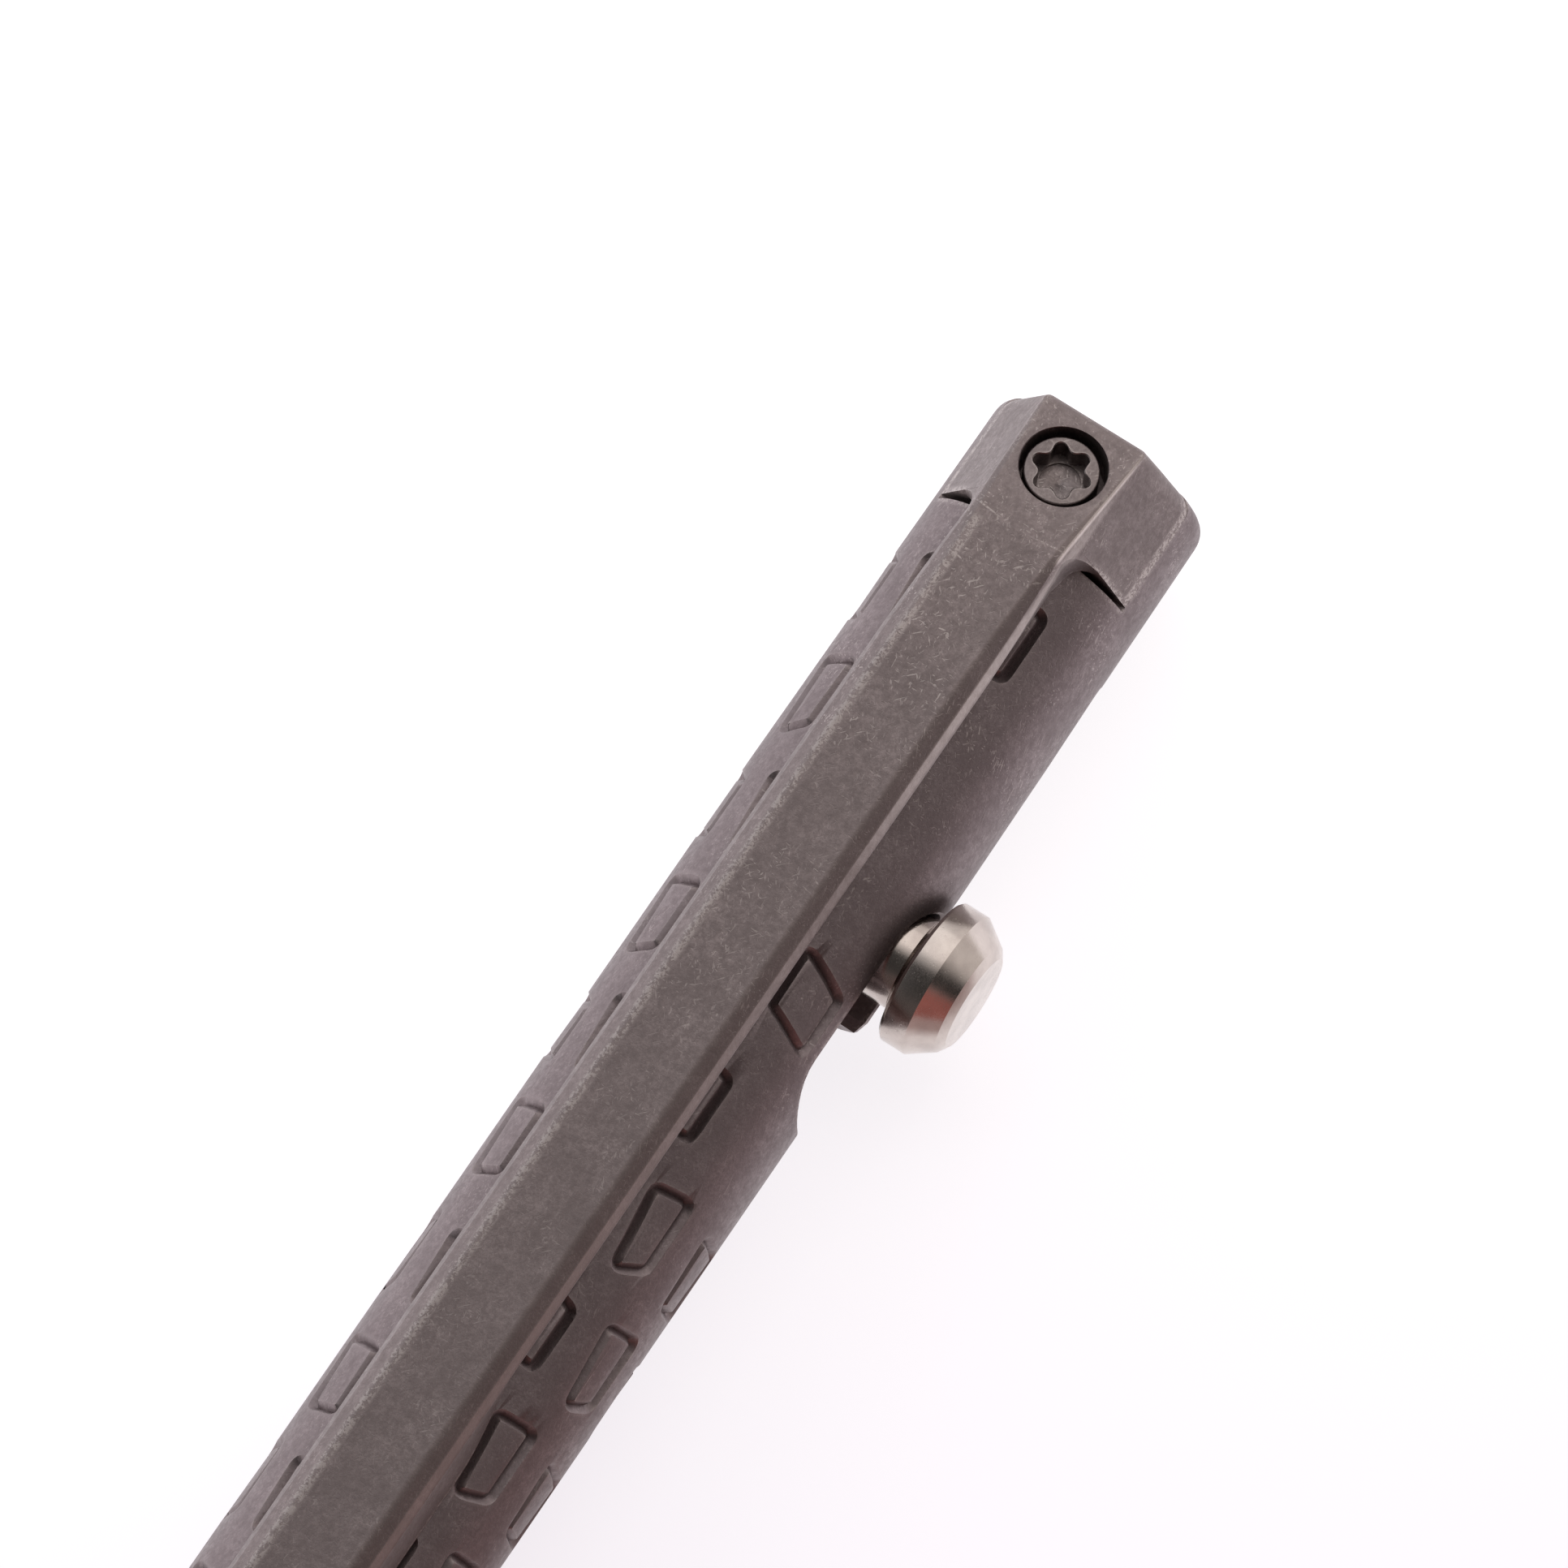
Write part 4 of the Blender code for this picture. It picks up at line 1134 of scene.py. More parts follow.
    def slot_line(self, grow: float) -> list[Triple]:
        """The slot's and the notch's outline, as (x, across, turn), grown by a margin.

        Args:
            grow: The margin.

        Returns:
            The outline's points.
        """
        half = self.slot_half + grow
        start, end = self.slot_start - grow, self.slot_end + grow
        notch = self.slot_end - self.notch_length - grow
        corner = self.notch_corner
        arc_steps = self.slot_steps // 2
        line = []
        for share in shares(self.slot_steps):
            angle = QUARTER + math.pi * share
            line.append((start + half * (1 + math.cos(angle)), half * math.sin(angle), 0.0))
        line += [(notch - corner, -half, 0.0), (notch, -half, corner / self.radius)]
        for share in shares(self.notch_steps, 1)[:-1]:
            line.append((notch, -half, self.lock_turn * share))
        line.append((notch, -half, self.lock_turn - corner / self.radius))
        line.append((notch + corner, -half, self.lock_turn))
        for share in shares(arc_steps):
            angle = QUARTER * share - QUARTER
            line.append((end - half * (1 - math.cos(angle)), half * math.sin(angle), self.lock_turn))
        for share in shares(self.notch_steps, 1):
            line.append((end, 0.0, self.lock_turn * (1 - share)))
        for share in shares(arc_steps, 1):
            angle = QUARTER * share
            line.append((end - half * (1 - math.cos(angle)), half * math.sin(angle), 0.0))
        return line

    def slot_cutter(self) -> Piece:
        """The slot with its notch, its rim broken all round.

        Returns:
            The cutter.
        """
        rings = []
        past = self.rim / 4
        for out, grow in (
            (self.slot_half + self.rim, 0.0), (self.radius - self.rim, 0.0),
            (self.radius + past, self.rim + past), (self.radius + self.overrun, self.rim + past),
        ):
            ring = []
            for x, across, turn in self.slot_line(grow):
                up = math.sqrt(max(out**2 - across**2, 0.0))
                ring.append(Matrix.Rotation(-turn, 3, "X") @ Vector((x, up, across)))
            rings.append(ring)
        return Bench.drawn_out("slot_cutter", rings)

    def seat_cutter(self) -> Piece:
        """The box that mills the clip's flat seat.

        Returns:
            The cutter.
        """
        side = self.radius + self.overrun
        bpy.ops.object.select_all(action="DESELECT")
        bpy.ops.mesh.primitive_cube_add(size=1)
        box = Bench.named("seat_cutter")
        with Bench.editing(box):
            bpy.ops.mesh.select_all(action="SELECT")
            bpy.ops.transform.resize(value=(self.seat_length + self.overrun, 2 * side, side))
            place = ((self.seat_length - self.overrun) / 2, 0, self.seat_height + side / 2)
            bpy.ops.transform.translate(value=place)
        return box

    def build(self, finishes: Finishes) -> None:
        """Builds and hands over the barrel.

        Args:
            finishes: The pen's finishes.
        """
        barrel = Bench.joined(self.grip(), self.rear(), self.front())
        barrel.name = "barrel_body"
        Bench.tidy(barrel)
        Bench.cut(barrel, self.seat_cutter(), self.slot_cutter())
        Bench.smooth(barrel, self.smooth_angle)
        hand_over(barrel, "barrel", Body.BARREL, finishes.titanium)


@dataclass
class Clip:
    """The pocket clip: head with wings, arm, foot, and the screw's counterbore."""

    seat: float = 2.405 * MM
    rear_radius: float = 5.35 * MM
    head_length: float = 5.7 * MM
    head_top_rear: float = 6.7 * MM
    head_top_half: float = 2.6 * MM
    bend_x: float = 6.5 * MM
    bend_height: float = 7.95 * MM
    ridge_half: float = 2.27 * MM
    ridge_drop: float = 0.1 * MM
    ridge_in: float = 0.28 * MM
    head_round: float = 0.3 * MM
    bend_blend: float = 0.5 * MM
    arm_height: float = 8.2 * MM
    rise_length: float = 7.5 * MM
    arm_half: float = 2.42 * MM
    chamfer_width: float = 0.54 * MM
    chamfer_depth: float = 0.52 * MM
    strip_out: float = 0.27 * MM
    strip_drop: float = 0.53 * MM
    fillet: float = 1.2 * MM
    pocket_gap: float = 0.45 * MM
    near_gap: float = 0.1 * MM
    foot_start: float = 48.5 * MM
    foot_full: float = 54.0 * MM
    foot_half: float = 2.9 * MM
    foot_gap: float = 0.15 * MM
    length: float = 68.0 * MM
    lead: float = 5.0 * MM
    lead_rise: float = 1.0 * MM
    end_length: float = 3.0 * MM
    end_share: float = 0.8
    low_edge: float = 0.2 * MM
    edge: float = 0.13 * MM
    top_edge: float = 0.5 * MM
    end_round: float = 0.35 * MM
    barrel_round: float = 1.0 * MM
    barrel_taper: float = 0.0075
    rear_lean: float = 0.32 * MM
    lean_length: float = 2.6 * MM
    ridge_least: float = 0.2
    under_rate: float = 3.0
    under_shares: tuple[float, ...] = (-0.7, -0.35, 0.0, 0.35, 0.7)
    head_shares: tuple[float, ...] = (0.25, 0.6, 1.0)
    corner_steps: int = 4
    corner_share: float = 0.025
    round_steps: int = 12
    fillet_steps: int = 9
    arm_steps: int = 8
    tip_steps: int = 9
    smooth_angle: float = 28 * DEGREE
    barrel_radius: float = field(init=False)

    def __post_init__(self) -> None:
        """Reads the barrel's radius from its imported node."""
        self.barrel_radius = -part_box("barrel")[0].z

    @property
    def base_half(self) -> float:
        """Half the head's width at its seat."""
        return math.sqrt(self.rear_radius**2 - self.seat**2)

    def ridge(self, x: float) -> Span:
        """Where the side facet ends under the top, as (half, height).

        Args:
            x: The distance from the rear end.

        Returns:
            Half the width, and the height.
        """
        share = min(x / self.bend_x, 1.0)
        half = self.head_top_half + (self.ridge_half - self.head_top_half) * share
        return half, min(self.top(x), self.bend_height) - self.ridge_drop * self.ridge_share(x)

    def facet_half(self, x: float, height: float) -> float:
        """Half the head's width at a height."""
        half, top = self.ridge(x)
        return self.base_half + (half - self.base_half) * (height - self.seat) / (top - self.seat)

    def facet_height(self, x: float, half: float) -> float:
        """The height at which the side facets have a half width."""
        ridge, top = self.ridge(x)
        return self.seat + (top - self.seat) * (half - self.base_half) / (ridge - self.base_half)

    def top(self, x: float) -> float:
        """The top's height: a ramp, then a slow rise, run together at the bend.

        Args:
            x: The distance from the rear end.

        Returns:
            The height.
        """
        ramp = (self.bend_height - self.head_top_rear) / self.bend_x
        rise = (self.arm_height - self.bend_height) / self.rise_length
        near = self.bend_height + ramp * (x - self.bend_x)
        far = min(self.bend_height + rise * (x - self.bend_x), self.arm_height)
        away = (x - self.bend_x) / self.bend_blend
        if away <= -1:
            return near
        if away >= 1:
            return far
        share = (away + 1) / 2
        return self.bend_height + self.bend_blend * (rise * share**2 - ramp * (1 - share) ** 2)

    def saddle(self, gap: float) -> Callable[[float], float]:
        """The barrel's top at a distance from its middle, plus a gap."""
        return lambda y: math.sqrt((self.barrel_radius + gap) ** 2 - y**2)

    def ring(self, x: float, side: Profile, under: Callable[[float], float]) -> list[Vector]:
        """One outline of the clip, from one side's corners, bottom to top.

        Args:
            x: The distance from the rear end.
            side: One side's corners, as (half, height).
            under: The underside's height at a distance from its middle.

        Returns:
            The outline's points.
        """
        left = [(-y, z) for y, z in reversed(side)]
        half = side[0][0]
        bottom = [(share * half, under(share * half)) for share in self.under_shares]
        corners = side + left
        far = min(max((x - self.bend_x) / self.rise_length, 0.0), 1.0)
        top = self.head_round + (self.top_edge - self.head_round) * far
        rounds = [self.low_edge, self.edge, self.edge, top, top, self.edge, self.edge, self.low_edge]
        rounds += [0.0] * len(bottom)
        turned = rounded(corners + bottom, rounds, self.corner_steps, closed=True)
        each = self.corner_steps + 1
        kept = turned[: each * len(corners)]
        if under(0) == under(half):
            kept[:each] = self.sharp(side[0], side[1])
            kept[-each:] = self.sharp(left[-1], left[-2])[::-1]
        return [Vector((x, y, z)) for y, z in kept + bottom]

    def sharp(self, corner: Span, above: Span) -> Profile:
        """Points close together from a corner that stays sharp, up towards the next."""
        start, end = Vector(corner), Vector(above)
        return [tuple(start.lerp(end, self.corner_share * step)) for step in range(self.corner_steps + 1)]

    def ridge_share(self, x: float) -> float:
        """How far the ridges have grown, from their least share at the rear to 1 at the bend."""
        return self.ridge_least + (1 - self.ridge_least) * min(x / self.bend_x, 1.0)

    def edge_half(self, x: float) -> float:
        """Half the top's width between the ridges."""
        return self.ridge(x)[0] - self.ridge_in * self.ridge_share(x)

    @staticmethod
    def round_off(x: float, radius: float) -> float:
        """How far a rounded rear edge draws a surface in at a distance from the rear end."""
        away = max(radius - x, 0.0)
        return radius - math.sqrt(radius**2 - away**2)

    def head_ring(self, x: float) -> list[Vector]:
        """An outline of the head, drawn in at the rear as its top and the barrel are.

        Args:
            x: The distance from the rear end.

        Returns:
            The outline's points.
        """
        fall = (self.base_half - self.head_top_half) / (self.head_top_rear - self.seat)
        low, high = self.round_off(x, self.barrel_round), self.round_off(x, self.end_round)
        top = min(self.top(x), self.bend_height) - high
        ridge_height = self.ridge(x)[1] - high
        middle = self.arm_half + self.fillet
        taper = self.barrel_taper * min(x, self.head_length)
        side = []
        for half, height in (
            (self.base_half, self.seat), (middle, self.facet_height(x, middle)),
            (self.ridge(x)[0], ridge_height), (self.edge_half(x), top),
        ):
            share = (height - self.seat) / (top - self.seat)
            drawn_in = (low + (high - low) * share) * math.hypot(1, fall) - taper * (1 - share)
            side.append((half - drawn_in, height))
        ring = self.ring(x, side, lambda y: self.seat)
        slope = self.rear_lean / (top - self.seat) * max(1 - x / self.lean_length, 0.0)
        return [point + Vector((slope * (point.z - self.seat), 0, 0)) for point in ring]

    def fillet_ring(self, x: float, half: float) -> list[Vector]:
        """An outline where the head runs into the arm."""
        under = self.saddle(self.near_gap)
        return self.ring(x, self.fillet_side(x, half, under(half)), under)

    def bend_ring(self, x: float, share: float) -> list[Vector]:
        """An outline between the end of the fillet and the full chamfers.

        Args:
            x: The distance from the rear end.
            share: How far the chamfers are full, from 0 to 1.

        Returns:
            The outline's points.
        """
        flat = self.arm_under(0.0, 0.0)
        low = self.saddle(self.near_gap)
        first = self.fillet_side(x, self.arm_half, flat(self.arm_half))
        last = self.arm_side(x, self.arm_half, self.arm_half, flat)
        side = [
            (near[0] + (far[0] - near[0]) * share, near[1] + (far[1] - near[1]) * share)
            for near, far in zip(first, last)
        ]
        quick = min(self.under_rate * share, 1.0)
        return self.ring(x, side, lambda y: low(y) + (flat(y) - low(y)) * quick)

    def fillet_side(self, x: float, half: float, low: float) -> Profile:
        """One side's corners where the head's facets still run.

        Args:
            x: The distance from the rear end.
            half: Half the width there.
            low: The lowest corner's height.

        Returns:
            The corners.
        """
        return [
            (half, low), (half, self.facet_height(x, half)), self.ridge(x), (self.edge_half(x), self.top(x)),
        ]

    def arm_under(self, lift: float, blend: float) -> Callable[[float], float]:
        """The underside's height at a distance from its middle, along the arm and the foot.

        Args:
            lift: How far the underside is raised.
            blend: How far it follows the barrel, from 0 to 1.

        Returns:
            The height, as a function of the distance.
        """
        flat = self.barrel_radius + self.pocket_gap + lift
        seat = self.saddle(self.foot_gap + lift)
        return lambda y: flat + (seat(y) - flat) * blend

    def arm_side(self, x: float, half: float, base: float, under: Callable[[float], float]) -> Profile:
        """One side's corners along the arm and the foot.

        Args:
            x: The distance from the rear end.
            half: Half the width.
            base: Half the underside's width.
            under: The underside's height at a distance from its middle.

        Returns:
            The corners.
        """
        shoulder = self.top(x) - self.chamfer_depth
        return [
            (base, under(base)), (half + self.strip_out, shoulder - self.strip_drop),
            (half, shoulder), (half - self.chamfer_width, self.top(x)),
        ]

    def arm_ring(self, x: float, half: float, base: float, lift: float, blend: float) -> list[Vector]:
        """An outline of the arm or the foot.

        Args:
            x: The distance from the rear end.
            half: Half the width.
            base: Half the underside's width.
            lift: How far the underside is raised.
            blend: How far the underside follows the barrel, from 0 to 1.

        Returns:
            The outline's points.
        """
        under = self.arm_under(lift, blend)
        return self.ring(x, self.arm_side(x, half, base, under), under)

    def rings(self) -> list[list[Vector]]:
        """Every outline, from the rear end to the foot's tip.

        Returns:
            The outlines, with as many points each.
        """
        made = []
        for share in shares(self.round_steps):
            made.append(self.head_ring(self.barrel_round * (1 - math.cos(QUARTER * share))))
        for share in self.head_shares:
            made.append(self.head_ring(self.barrel_round + (self.head_length - self.barrel_round) * share))
        for share in shares(self.fillet_steps):
            angle = QUARTER * share
            x = self.head_length + self.fillet * (1 - math.cos(angle))
            made.append(self.fillet_ring(x, self.arm_half + self.fillet * (1 - math.sin(angle))))
        start = self.head_length + self.fillet
        full = self.bend_x + self.rise_length
        for share in shares(self.arm_steps, 1):
            made.append(self.bend_ring(start + (full - start) * share, 1 - (1 - share) ** 2))
        for share in shares(self.arm_steps):
            ease = share * share * (3 - 2 * share)
            x = self.foot_start + (self.foot_full - self.foot_start) * share
            base = self.arm_half + (self.foot_half - self.arm_half) * ease
            made.append(self.arm_ring(x, self.arm_half, base, 0.0, ease))
        made.append(self.arm_ring(self.length - self.lead, self.arm_half, self.foot_half, 0.0, 1.0))
        for share in shares(self.tip_steps)[:-1]:
            out = math.sin(QUARTER * share)
            x = self.length - self.end_length * (1 - out)
            narrow = math.sqrt(1 - out**2 * self.end_share)
            lift = self.lead_rise * (x - self.length + self.lead) / self.lead
            made.append(self.arm_ring(x, self.arm_half * narrow, self.foot_half * narrow, lift, 1.0))
        return made

    def build(self, finishes: Finishes, screw: "Screw") -> None:
        """Builds and hands over the clip.

        Args:
            finishes: The pen's finishes.
            screw: The clip's screw.
        """
        clip = Bench.drawn_out("pocket_clip", self.rings())
        Bench.cut(clip, screw.counterbore())
        Bench.smooth(clip, self.smooth_angle)
        hand_over(clip, "clip", Body.BARREL, finishes.clip)


@dataclass
class Screw:
    """The clip's screw, square to the head's ramp, and the hole that it stands in."""

    place_x: float = 3.0 * MM
    ramp_rear: float = Clip.head_top_rear
    ramp_bend: float = Clip.bend_height
    bend_x: float = Clip.bend_x
    head: float = 1.68 * MM
    head_height: float = 1.8 * MM
    recess: float = 0.35 * MM
    bore: float = 1.96 * MM
    bore_rim: float = 0.05 * MM
    shank: float = 1.2 * MM
    depth: float = 8.95 * MM
    rim: float = 0.12 * MM
    play: float = 0.05 * MM
    socket_out: float = 1.37 * MM
    socket_in: float = 0.985 * MM
    socket_depth: float = 1.1 * MM
    socket_rim: float = 0.05 * MM
    drill: float = 0.93 * MM
    drill_depth: float = 1.22 * MM
    dimple: float = 0.13 * MM
    lobes: int = 6
    lobe_turn: float = 34.6 * DEGREE
    lobe_steps: int = 16
    lobe_power: float = 0.8
    sides: int = 96
    corner_steps: int = 5

    @property
    def tilt(self) -> float:
        """How far the ramp falls to the rear, as an angle."""
        return math.atan2(self.ramp_bend - self.ramp_rear, self.bend_x)

    @property
    def place(self) -> Vector:
        """The counterbore's middle, on the ramp."""
        share = self.place_x / self.bend_x
        return Vector((self.place_x, 0, self.ramp_rear + (self.ramp_bend - self.ramp_rear) * share))

    def counterbore(self) -> Piece:
        """The cutter for the counterbore and the hole under it.

        Returns:
            The cutter, in place.
        """
        floor = -self.recess - self.head_height - self.rim
        hole = self.shank + self.rim / 2
        wide = self.bore + self.bore_rim
        profile = [
            (-self.depth, 0), (-self.depth, hole), (floor, hole), (floor, self.bore),
            (-self.bore_rim, self.bore), (self.bore_rim / 4, wide), (self.head, wide), (self.head, 0),
        ]
        cutter = Bench.turn("counterbore", profile, self.sides, Axis.SCREW)
        return Bench.moved(cutter, self.place, -self.tilt)

    def lobe_ring(self, grow: float, height: float) -> list[Vector]:
        """The socket's six-lobed outline at a height.

        Args:
            grow: How far the outline is grown.
            height: The height on the screw's axis.

        Returns:
            The outline's points.
        """
        middle = (self.socket_out + self.socket_in) / 2
        swing = (self.socket_out - self.socket_in) / 2
        ring = []
        count = self.lobe_steps * self.lobes
        for step in range(count):
            angle = TURN * step / count
            wave = math.cos(self.lobes * (angle - self.lobe_turn))
            radius = middle + swing * math.copysign(abs(wave) ** self.lobe_power, wave) + grow
            ring.append(Vector((radius * math.cos(angle), radius * math.sin(angle), height)))
        return ring

    def socket_cutters(self) -> list[Piece]:
        """The cutters for the socket: lobes, then a round drill with a dimple.

        Returns:
            The cutters.
        """
        top = -self.recess
        past = self.socket_rim / 4
        rings = [
            self.lobe_ring(0.0, top - self.socket_depth), self.lobe_ring(0.0, top - self.socket_rim),
            self.lobe_ring(self.socket_rim + past, top + past),
            self.lobe_ring(self.socket_rim + past, top + self.head),
        ]
        low = top - self.drill_depth
        profile = [
            (low - self.dimple / 2, 0), (low, self.dimple), (low, self.drill), (top, self.drill), (top, 0),
        ]
        return [Bench.drawn_out("lobes", rings), Bench.turn("drill", profile, self.sides, Axis.SCREW)]

    def build(self, finishes: Finishes) -> None:
        """Builds and hands over the screw.

        Args:
            finishes: The pen's finishes.
        """
        top = -self.recess
        under = top - self.head_height
        corners = [
            (top, 0), (top, self.head), (under, self.head), (under, self.shank),
            (-self.depth, self.shank), (-self.depth, 0),
        ]
        profile = rounded(corners, self.rim, self.corner_steps)
        screw = Bench.turn("clip_screw_body", profile, self.sides, Axis.SCREW)
        Bench.cut(screw, *self.socket_cutters())
        Bench.moved(screw, self.place + Vector((self.play, -self.play, 0)), -self.tilt)
        Bench.smooth(screw)
        hand_over(screw, "clip_screw", Body.BARREL, finishes.screw)


@dataclass
class Bolt:
    """The bolt: its turned knob and its polished stem."""

    rim: float = 1.3 * MM
    back_edge: float = 0.16 * MM
    cone_step: float = 0.8 * MM
    face_edge: float = 0.3 * MM
    stud: float = 1.3 * MM
    stud_gap: float = 0.05 * MM
    stud_depth: float = 1.7 * MM
    edge: float = 0.035 * MM
    neck: float = 0.7 * MM
    neck_length: float = 0.3 * MM
    knob_sides: int = 128
    knob_steps: int = 4
    stem_sides: int = 96
    stem_steps: int = 3
    smooth_angle: float = 26 * DEGREE

    def turned(self, node: str, profile: Profile, sides: int) -> Piece:
        """One piece of the bolt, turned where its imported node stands.

        Args:
            node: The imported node.
            profile: The turned outline, as (along, out).
            sides: How many sides the piece has.

        Returns:
            The piece.
        """
        low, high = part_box(node)
        piece = Bench.turn(f"{node}_body", profile, sides, Axis.BOLT)
        return Bench.moved(piece, Vector(((low.x + high.x) / 2, 0, 0)))

    def knob(self) -> Piece:
        """The knob, bored for the stem's stud.

        Returns:
            The knob.
        """
        low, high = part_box("bolt_knob")
        wide = (high.x - low.x) / 2
        bore = self.stud + self.stud_gap
        end = low.y + self.stud_depth + self.stud_gap
        top = high.y
        cone_end = top - self.face_edge
        corners = [
            (end, 0), (end, bore), (low.y, bore), (low.y, wide - self.back_edge),
            (low.y + self.back_edge, wide), (low.y + self.rim, wide),
            (cone_end, wide - self.cone_step),
            (top, wide - self.cone_step - 3 / 2 * self.face_edge), (top, 0),
        ]
        return self.turned("bolt_knob", rounded(corners, self.edge, self.knob_steps), self.knob_sides)

    def stem(self) -> Piece:
        """The stem, with a stud at each end.

        Returns:
            The stem.
        """
        low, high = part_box("bolt_stem")
        wide = (high.x - low.x) / 2
        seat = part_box("plunger")[1].z + 2 * self.stud_gap
        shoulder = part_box("bolt_knob")[0].y - self.stud_gap
        corners = [
            (low.y, 0), (low.y, self.stud), (seat, self.stud), (seat, wide),
            (shoulder - self.neck_length, wide), (shoulder - self.neck_length, wide - self.neck),
            (shoulder, wide - self.neck), (shoulder, self.stud), (high.y, self.stud), (high.y, 0),
        ]
        return self.turned("bolt_stem", rounded(corners, self.edge, self.stem_steps), self.stem_sides)

    def build(self, finishes: Finishes) -> None:
        """Builds and hands over the knob and the stem.

        Args:
            finishes: The pen's finishes.
        """
        for piece, node in ((self.knob(), "bolt_knob"), (self.stem(), "bolt_stem")):
            Bench.smooth(piece, self.smooth_angle)
            hand_over(piece, node, Body.CARRIAGE, finishes.polished)


@dataclass(frozen=True)
class Lamp:
    """A soft square lamp that faces the pen's visible half."""

    name: str
    place: Triple
    size: Span
    power: float
    colour: Colour
    target: Triple = (0.03, 0.0, 0.0)

    def add(self) -> None:
        """Adds the lamp to the scene."""
        data = bpy.data.lights.new(self.name, "AREA")
        data.shape = "RECTANGLE"
        data.size, data.size_y = self.size
        data.energy = self.power
        data.color = self.colour
        lamp = bpy.data.objects.new(self.name, data)
        bpy.context.scene.collection.objects.link(lamp)
        lamp.location = self.place
        away = Vector(self.target) - Vector(self.place)
        lamp.rotation_euler = away.to_track_quat("-Z", "Y").to_euler()


@dataclass
class Studio:
    """The floor, the lamps, the room and the camera at the photograph's view."""

    lean: float = 12.0 * DEGREE
    roll_to_bolt: float = 12.0 * DEGREE
    slant: float = 34.69 * DEGREE
    rear_end: Triple = (14.2 * MM, 14.1 * MM, -453.0 * MM)
    sensor: float = 36.0
    focal: float = 236.0
    nearest: float = 10 * MM
    furthest: float = 20.0
    floor_drop: float = 0.05 * MM
    floor_size: float = 1.6
    floor_middle: float = 70 * MM
    floor_colour: Colour = (0.5, 0.49, 0.51)
    floor_roughness: float = 0.8
    # Glow for the camera: white near the pen, with a painted dimming to lavender grey further ahead.
    glow: Colour = (0.87, 0.86, 0.87)
    painted_far_dimming: Colour = (0.65, 0.605, 0.67)
    glow_span: Span = (-0.03, 0.15)
    # Painted reflection: what reflections see of the floor, lighter away from the bolt and dark reddish ahead
    # on the bolt's side.
    painted_reflection_colour: Colour = (0.9, 0.88, 0.905)
    painted_side_reflection_colour: Colour = (1.0, 0.98, 1.01)
    painted_side_span: Span = (-0.004, -0.02)
    painted_dark_reflection: Colour = (0.22, 0.115, 0.1)
    painted_shade_span: Span = (0.038, 0.07)
    painted_shade_side_span: Span = (0.002, 0.02)
    dome: float = 0.05
    cool: Colour = (0.97, 0.98, 1.0)
    warm: Colour = (1.0, 0.94, 0.9)
    warm_span: Span = (-0.5, 0.0)
    rear_lean: float = 0.185
    rear_span: Span = (0.19, -0.29)
    rear_side_span: Span = (0.9, -0.1)
    rear_light: Span = (0.7, 0.85)
    left_span: Span = (-0.22, -0.75)
    left_light: Span = (0.0, 0.85)
    wood: Colour = (1.0, 0.36, 0.31)
    wood_light: float = 0.33
    wood_span: Span = (0.18, 0.42)
    wood_high_span: Span = (0.75, 0.42)
    wood_side_span: Span = (-0.3, 0.7)
    wood_share: Span = (0.1, 1.0)
    lamps: tuple[Lamp, ...] = (
        Lamp("side_panel", (0.03, -0.8, 0.25), (0.9, 0.7), 0.5, (0.98, 0.97, 1.0)),
        Lamp("rear_panel", (-0.045, -0.022, 0.1), (0.1, 0.1), 0.011, (1.0, 0.96, 0.93)),
    )

    def camera(self) -> None:
        """Adds the camera from where the pen's axes point in its view."""
        sine, cosine = math.sin(self.slant), math.cos(self.slant)
        level, steep = math.cos(self.lean), math.sin(self.lean)
        along = Vector((-sine * level, -cosine * level, steep))
        up = Vector((sine * steep, cosine * steep, level))
        side = Vector((cosine, -sine, 0))
        bolt = side * math.cos(self.roll_to_bolt) + up * math.sin(self.roll_to_bolt)
        clip = up * math.cos(self.roll_to_bolt) - side * math.sin(self.roll_to_bolt)
        data = bpy.data.cameras.new("camera")
        data.sensor_width = self.sensor
        data.lens = self.focal
        data.clip_start = self.nearest
        data.clip_end = self.furthest
        camera = bpy.data.objects.new("camera", data)
        bpy.context.scene.collection.objects.link(camera)
        to_pen = Matrix((along, bolt, clip)).to_4x4()
        camera.matrix_world = to_pen @ Matrix.Translation(-Vector(self.rear_end))
        bpy.context.scene.camera = camera

    def floor(self) -> None:
        """A white floor under the pen with painted glow: for the camera it fades to lavender grey ahead, and
        reflections see it lighter away from the bolt and dark reddish ahead, a painted reflection for the
        bolt's knob.
        """
        bpy.ops.object.select_all(action="DESELECT")
        bpy.ops.mesh.primitive_plane_add(size=self.floor_size)
        floor = Bench.named("floor")
        Bench.moved(floor, Vector((self.floor_middle, 0, CAD_BOX[0][2] - self.floor_drop)))
        graph = Graph("floor_white")
        rays = ("Camera", "Glossy", "Transmission")
        camera, glossy, through = (graph.node("ShaderNodeLightPath", out=f"Is {ray} Ray") for ray in rays)
        side = graph.along("Y")
        slanting = graph.along("X") + side
        # Painted shade and reflection for glossy and transmission rays: lighter away from the bolt, dark
        # reddish ahead on the bolt's side.
        painted_shade = graph.spread(slanting, self.painted_shade_span) * graph.spread(side, self.painted_shade_side_span)
        painted_side_reflection = graph.mix(graph.spread(side, self.painted_side_span), self.painted_reflection_colour, self.painted_side_reflection_colour)
        painted_reflection = graph.mix(painted_shade, painted_side_reflection, self.painted_dark_reflection)
        # Painted dimming: the camera sees the glow fade to lavender grey ahead.
        seen = graph.mix(graph.spread(slanting, self.glow_span), self.glow, self.painted_far_dimming)
        glow = graph.maths("MAXIMUM", graph.maths("MAXIMUM", camera, glossy), through)
        lit = graph.mix(glow, (0.0, 0.0, 0.0), graph.mix(camera, painted_reflection, seen))
        graph.dress(
            Base_Color=self.floor_colour, Roughness=self.floor_roughness,
            Emission_Color=lit, Emission_Strength=1.0,
        )
        floor.data.materials.append(graph.material)

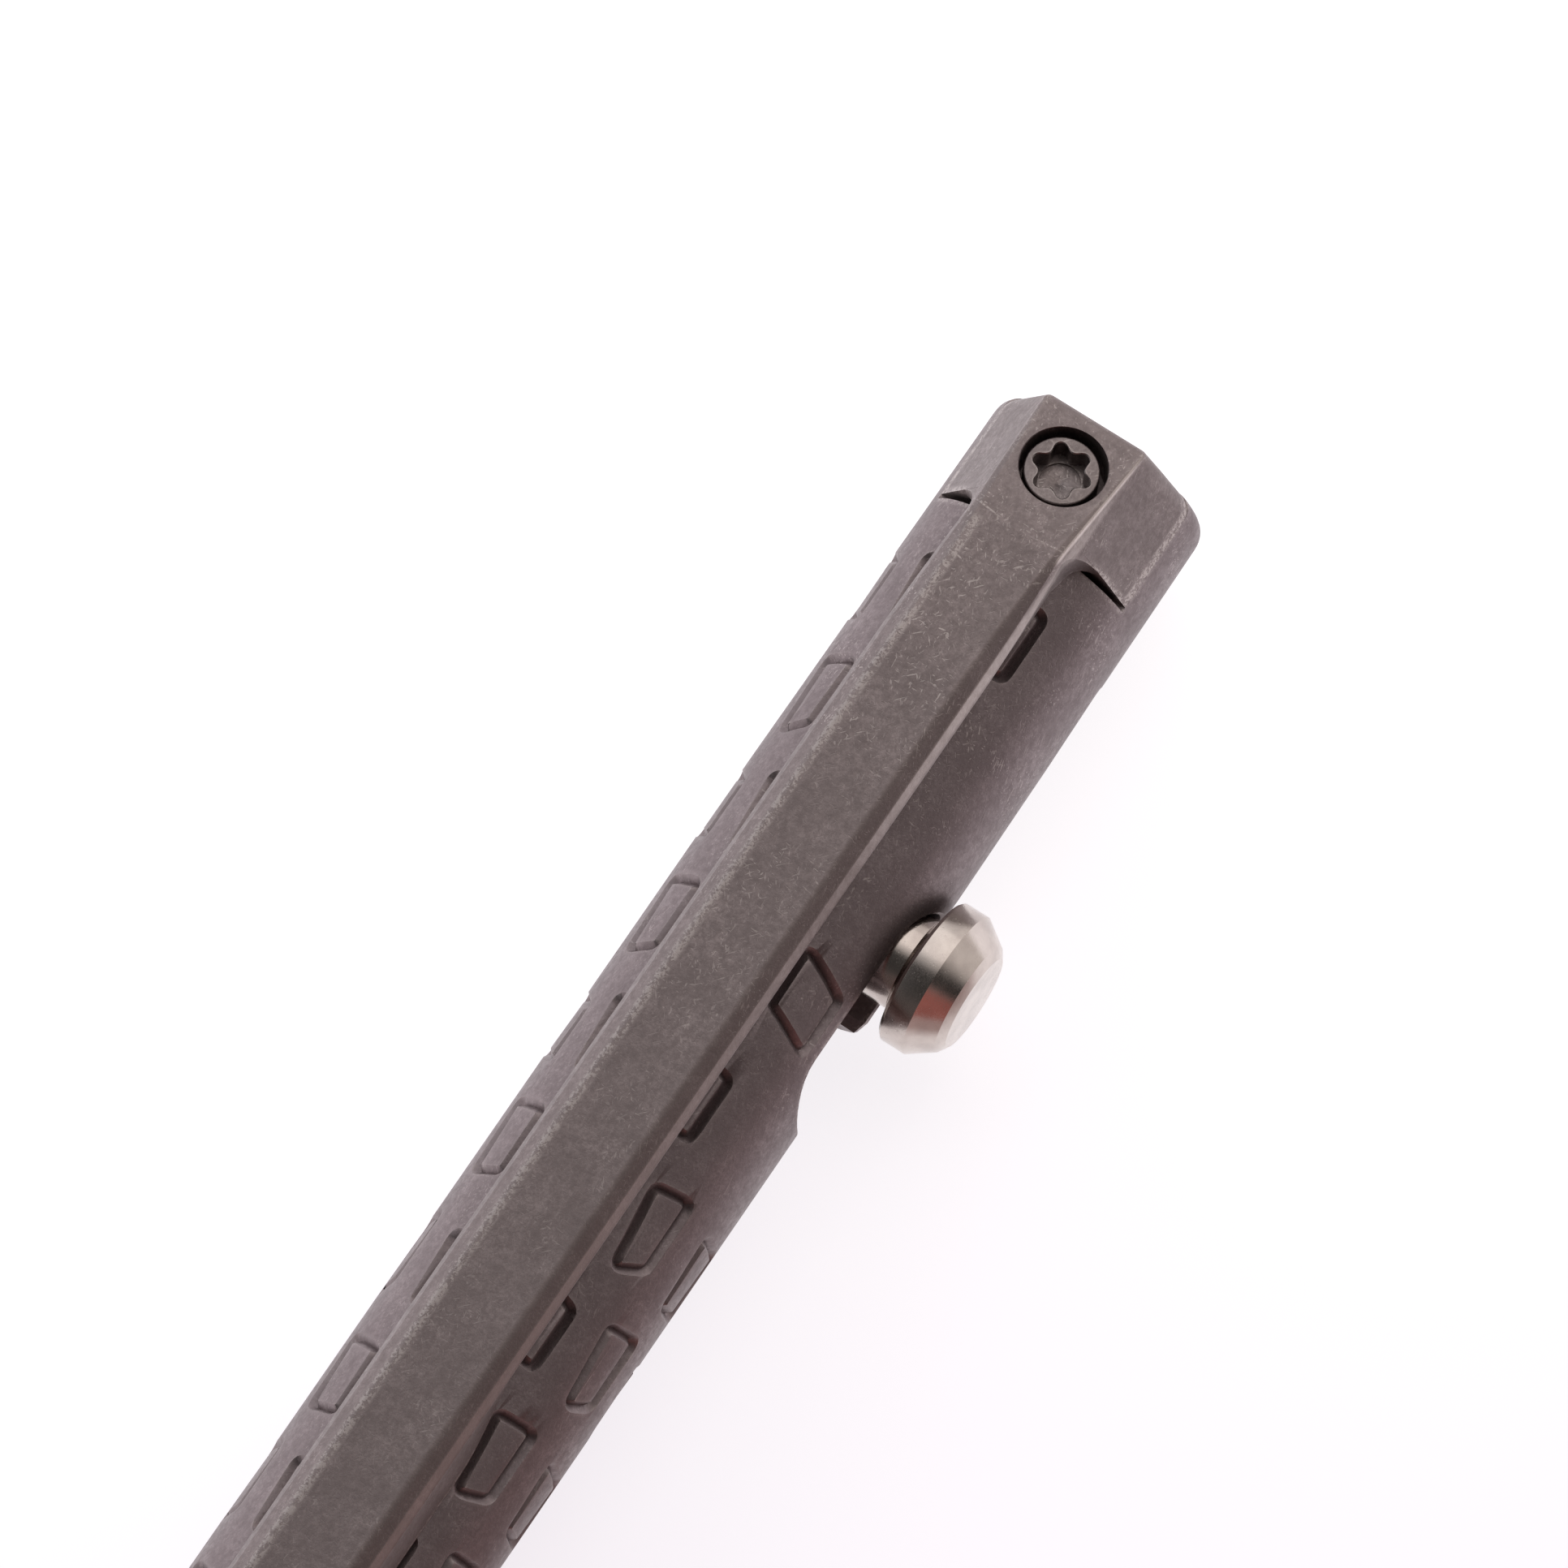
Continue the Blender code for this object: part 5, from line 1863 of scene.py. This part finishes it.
    def world(self) -> None:
        """A soft room: light behind and on the clip's free side, dark overhead, wood ahead."""
        world = bpy.data.worlds.new("surround")
        bpy.context.scene.world = world
        world.use_nodes = True
        graph = Graph.around(world)
        ahead, side, high = (graph.along(axis) for axis in "XYZ")
        rear = graph.spread(ahead + side * self.rear_lean, self.rear_span)
        rear = rear * graph.spread(side, self.rear_side_span, self.rear_light)
        left = graph.spread(side, self.left_span, self.left_light)
        wood = graph.spread(ahead, self.wood_span) * graph.spread(high, self.wood_high_span)
        wood = wood * graph.spread(side, self.wood_side_span, self.wood_share)
        light = graph.maths("MAXIMUM", rear, left) + wood * self.wood_light + self.dome
        plain = graph.mix(graph.spread(side, self.warm_span), self.cool, self.warm)
        graph.put(graph.shader.inputs["Strength"], light)
        graph.put(graph.shader.inputs["Color"], graph.mix(wood, plain, self.wood))

    def build(self) -> None:
        """Builds the whole studio."""
        bpy.context.scene.view_settings.view_transform = "Standard"
        self.camera()
        self.floor()
        self.world()
        for lamp in self.lamps:
            lamp.add()


def dress_hidden(finishes: Finishes) -> None:
    """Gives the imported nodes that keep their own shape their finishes.

    Args:
        finishes: The pen's finishes.
    """
    chosen = {
        "nose_cone": finishes.titanium, "nose_ring": finishes.rubber, "return_spring": finishes.spring,
        "plunger": finishes.plunger, "plunger_ring_rear": finishes.rubber,
        "plunger_ring_front": finishes.rubber, "refill_end_plug": finishes.plastic,
        "refill_tube": finishes.tube, "refill_ink": finishes.ink, "refill_grease": finishes.grease,
        "refill_tip_holder": finishes.brass, "refill_point": finishes.brass,
        "refill_ball": finishes.carbide,
    }
    for name, finish in chosen.items():
        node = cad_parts[name]
        node.data.materials.clear()
        node.data.materials.append(finish)
        log.info("%s: keeps its solid", name)


def press_spring() -> None:
    """Gives the return spring a mesh of its own.
    """
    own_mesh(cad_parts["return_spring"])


def main() -> None:
    """Builds the pen and its studio."""
    studio = Studio()
    studio.build()
    finishes = Finishes()
    screw = Screw()
    Barrel().build(finishes)
    Clip().build(finishes, screw)
    screw.build(finishes)
    Bolt().build(finishes)
    dress_hidden(finishes)
    press_spring()


if __name__ == "__main__":
    main()
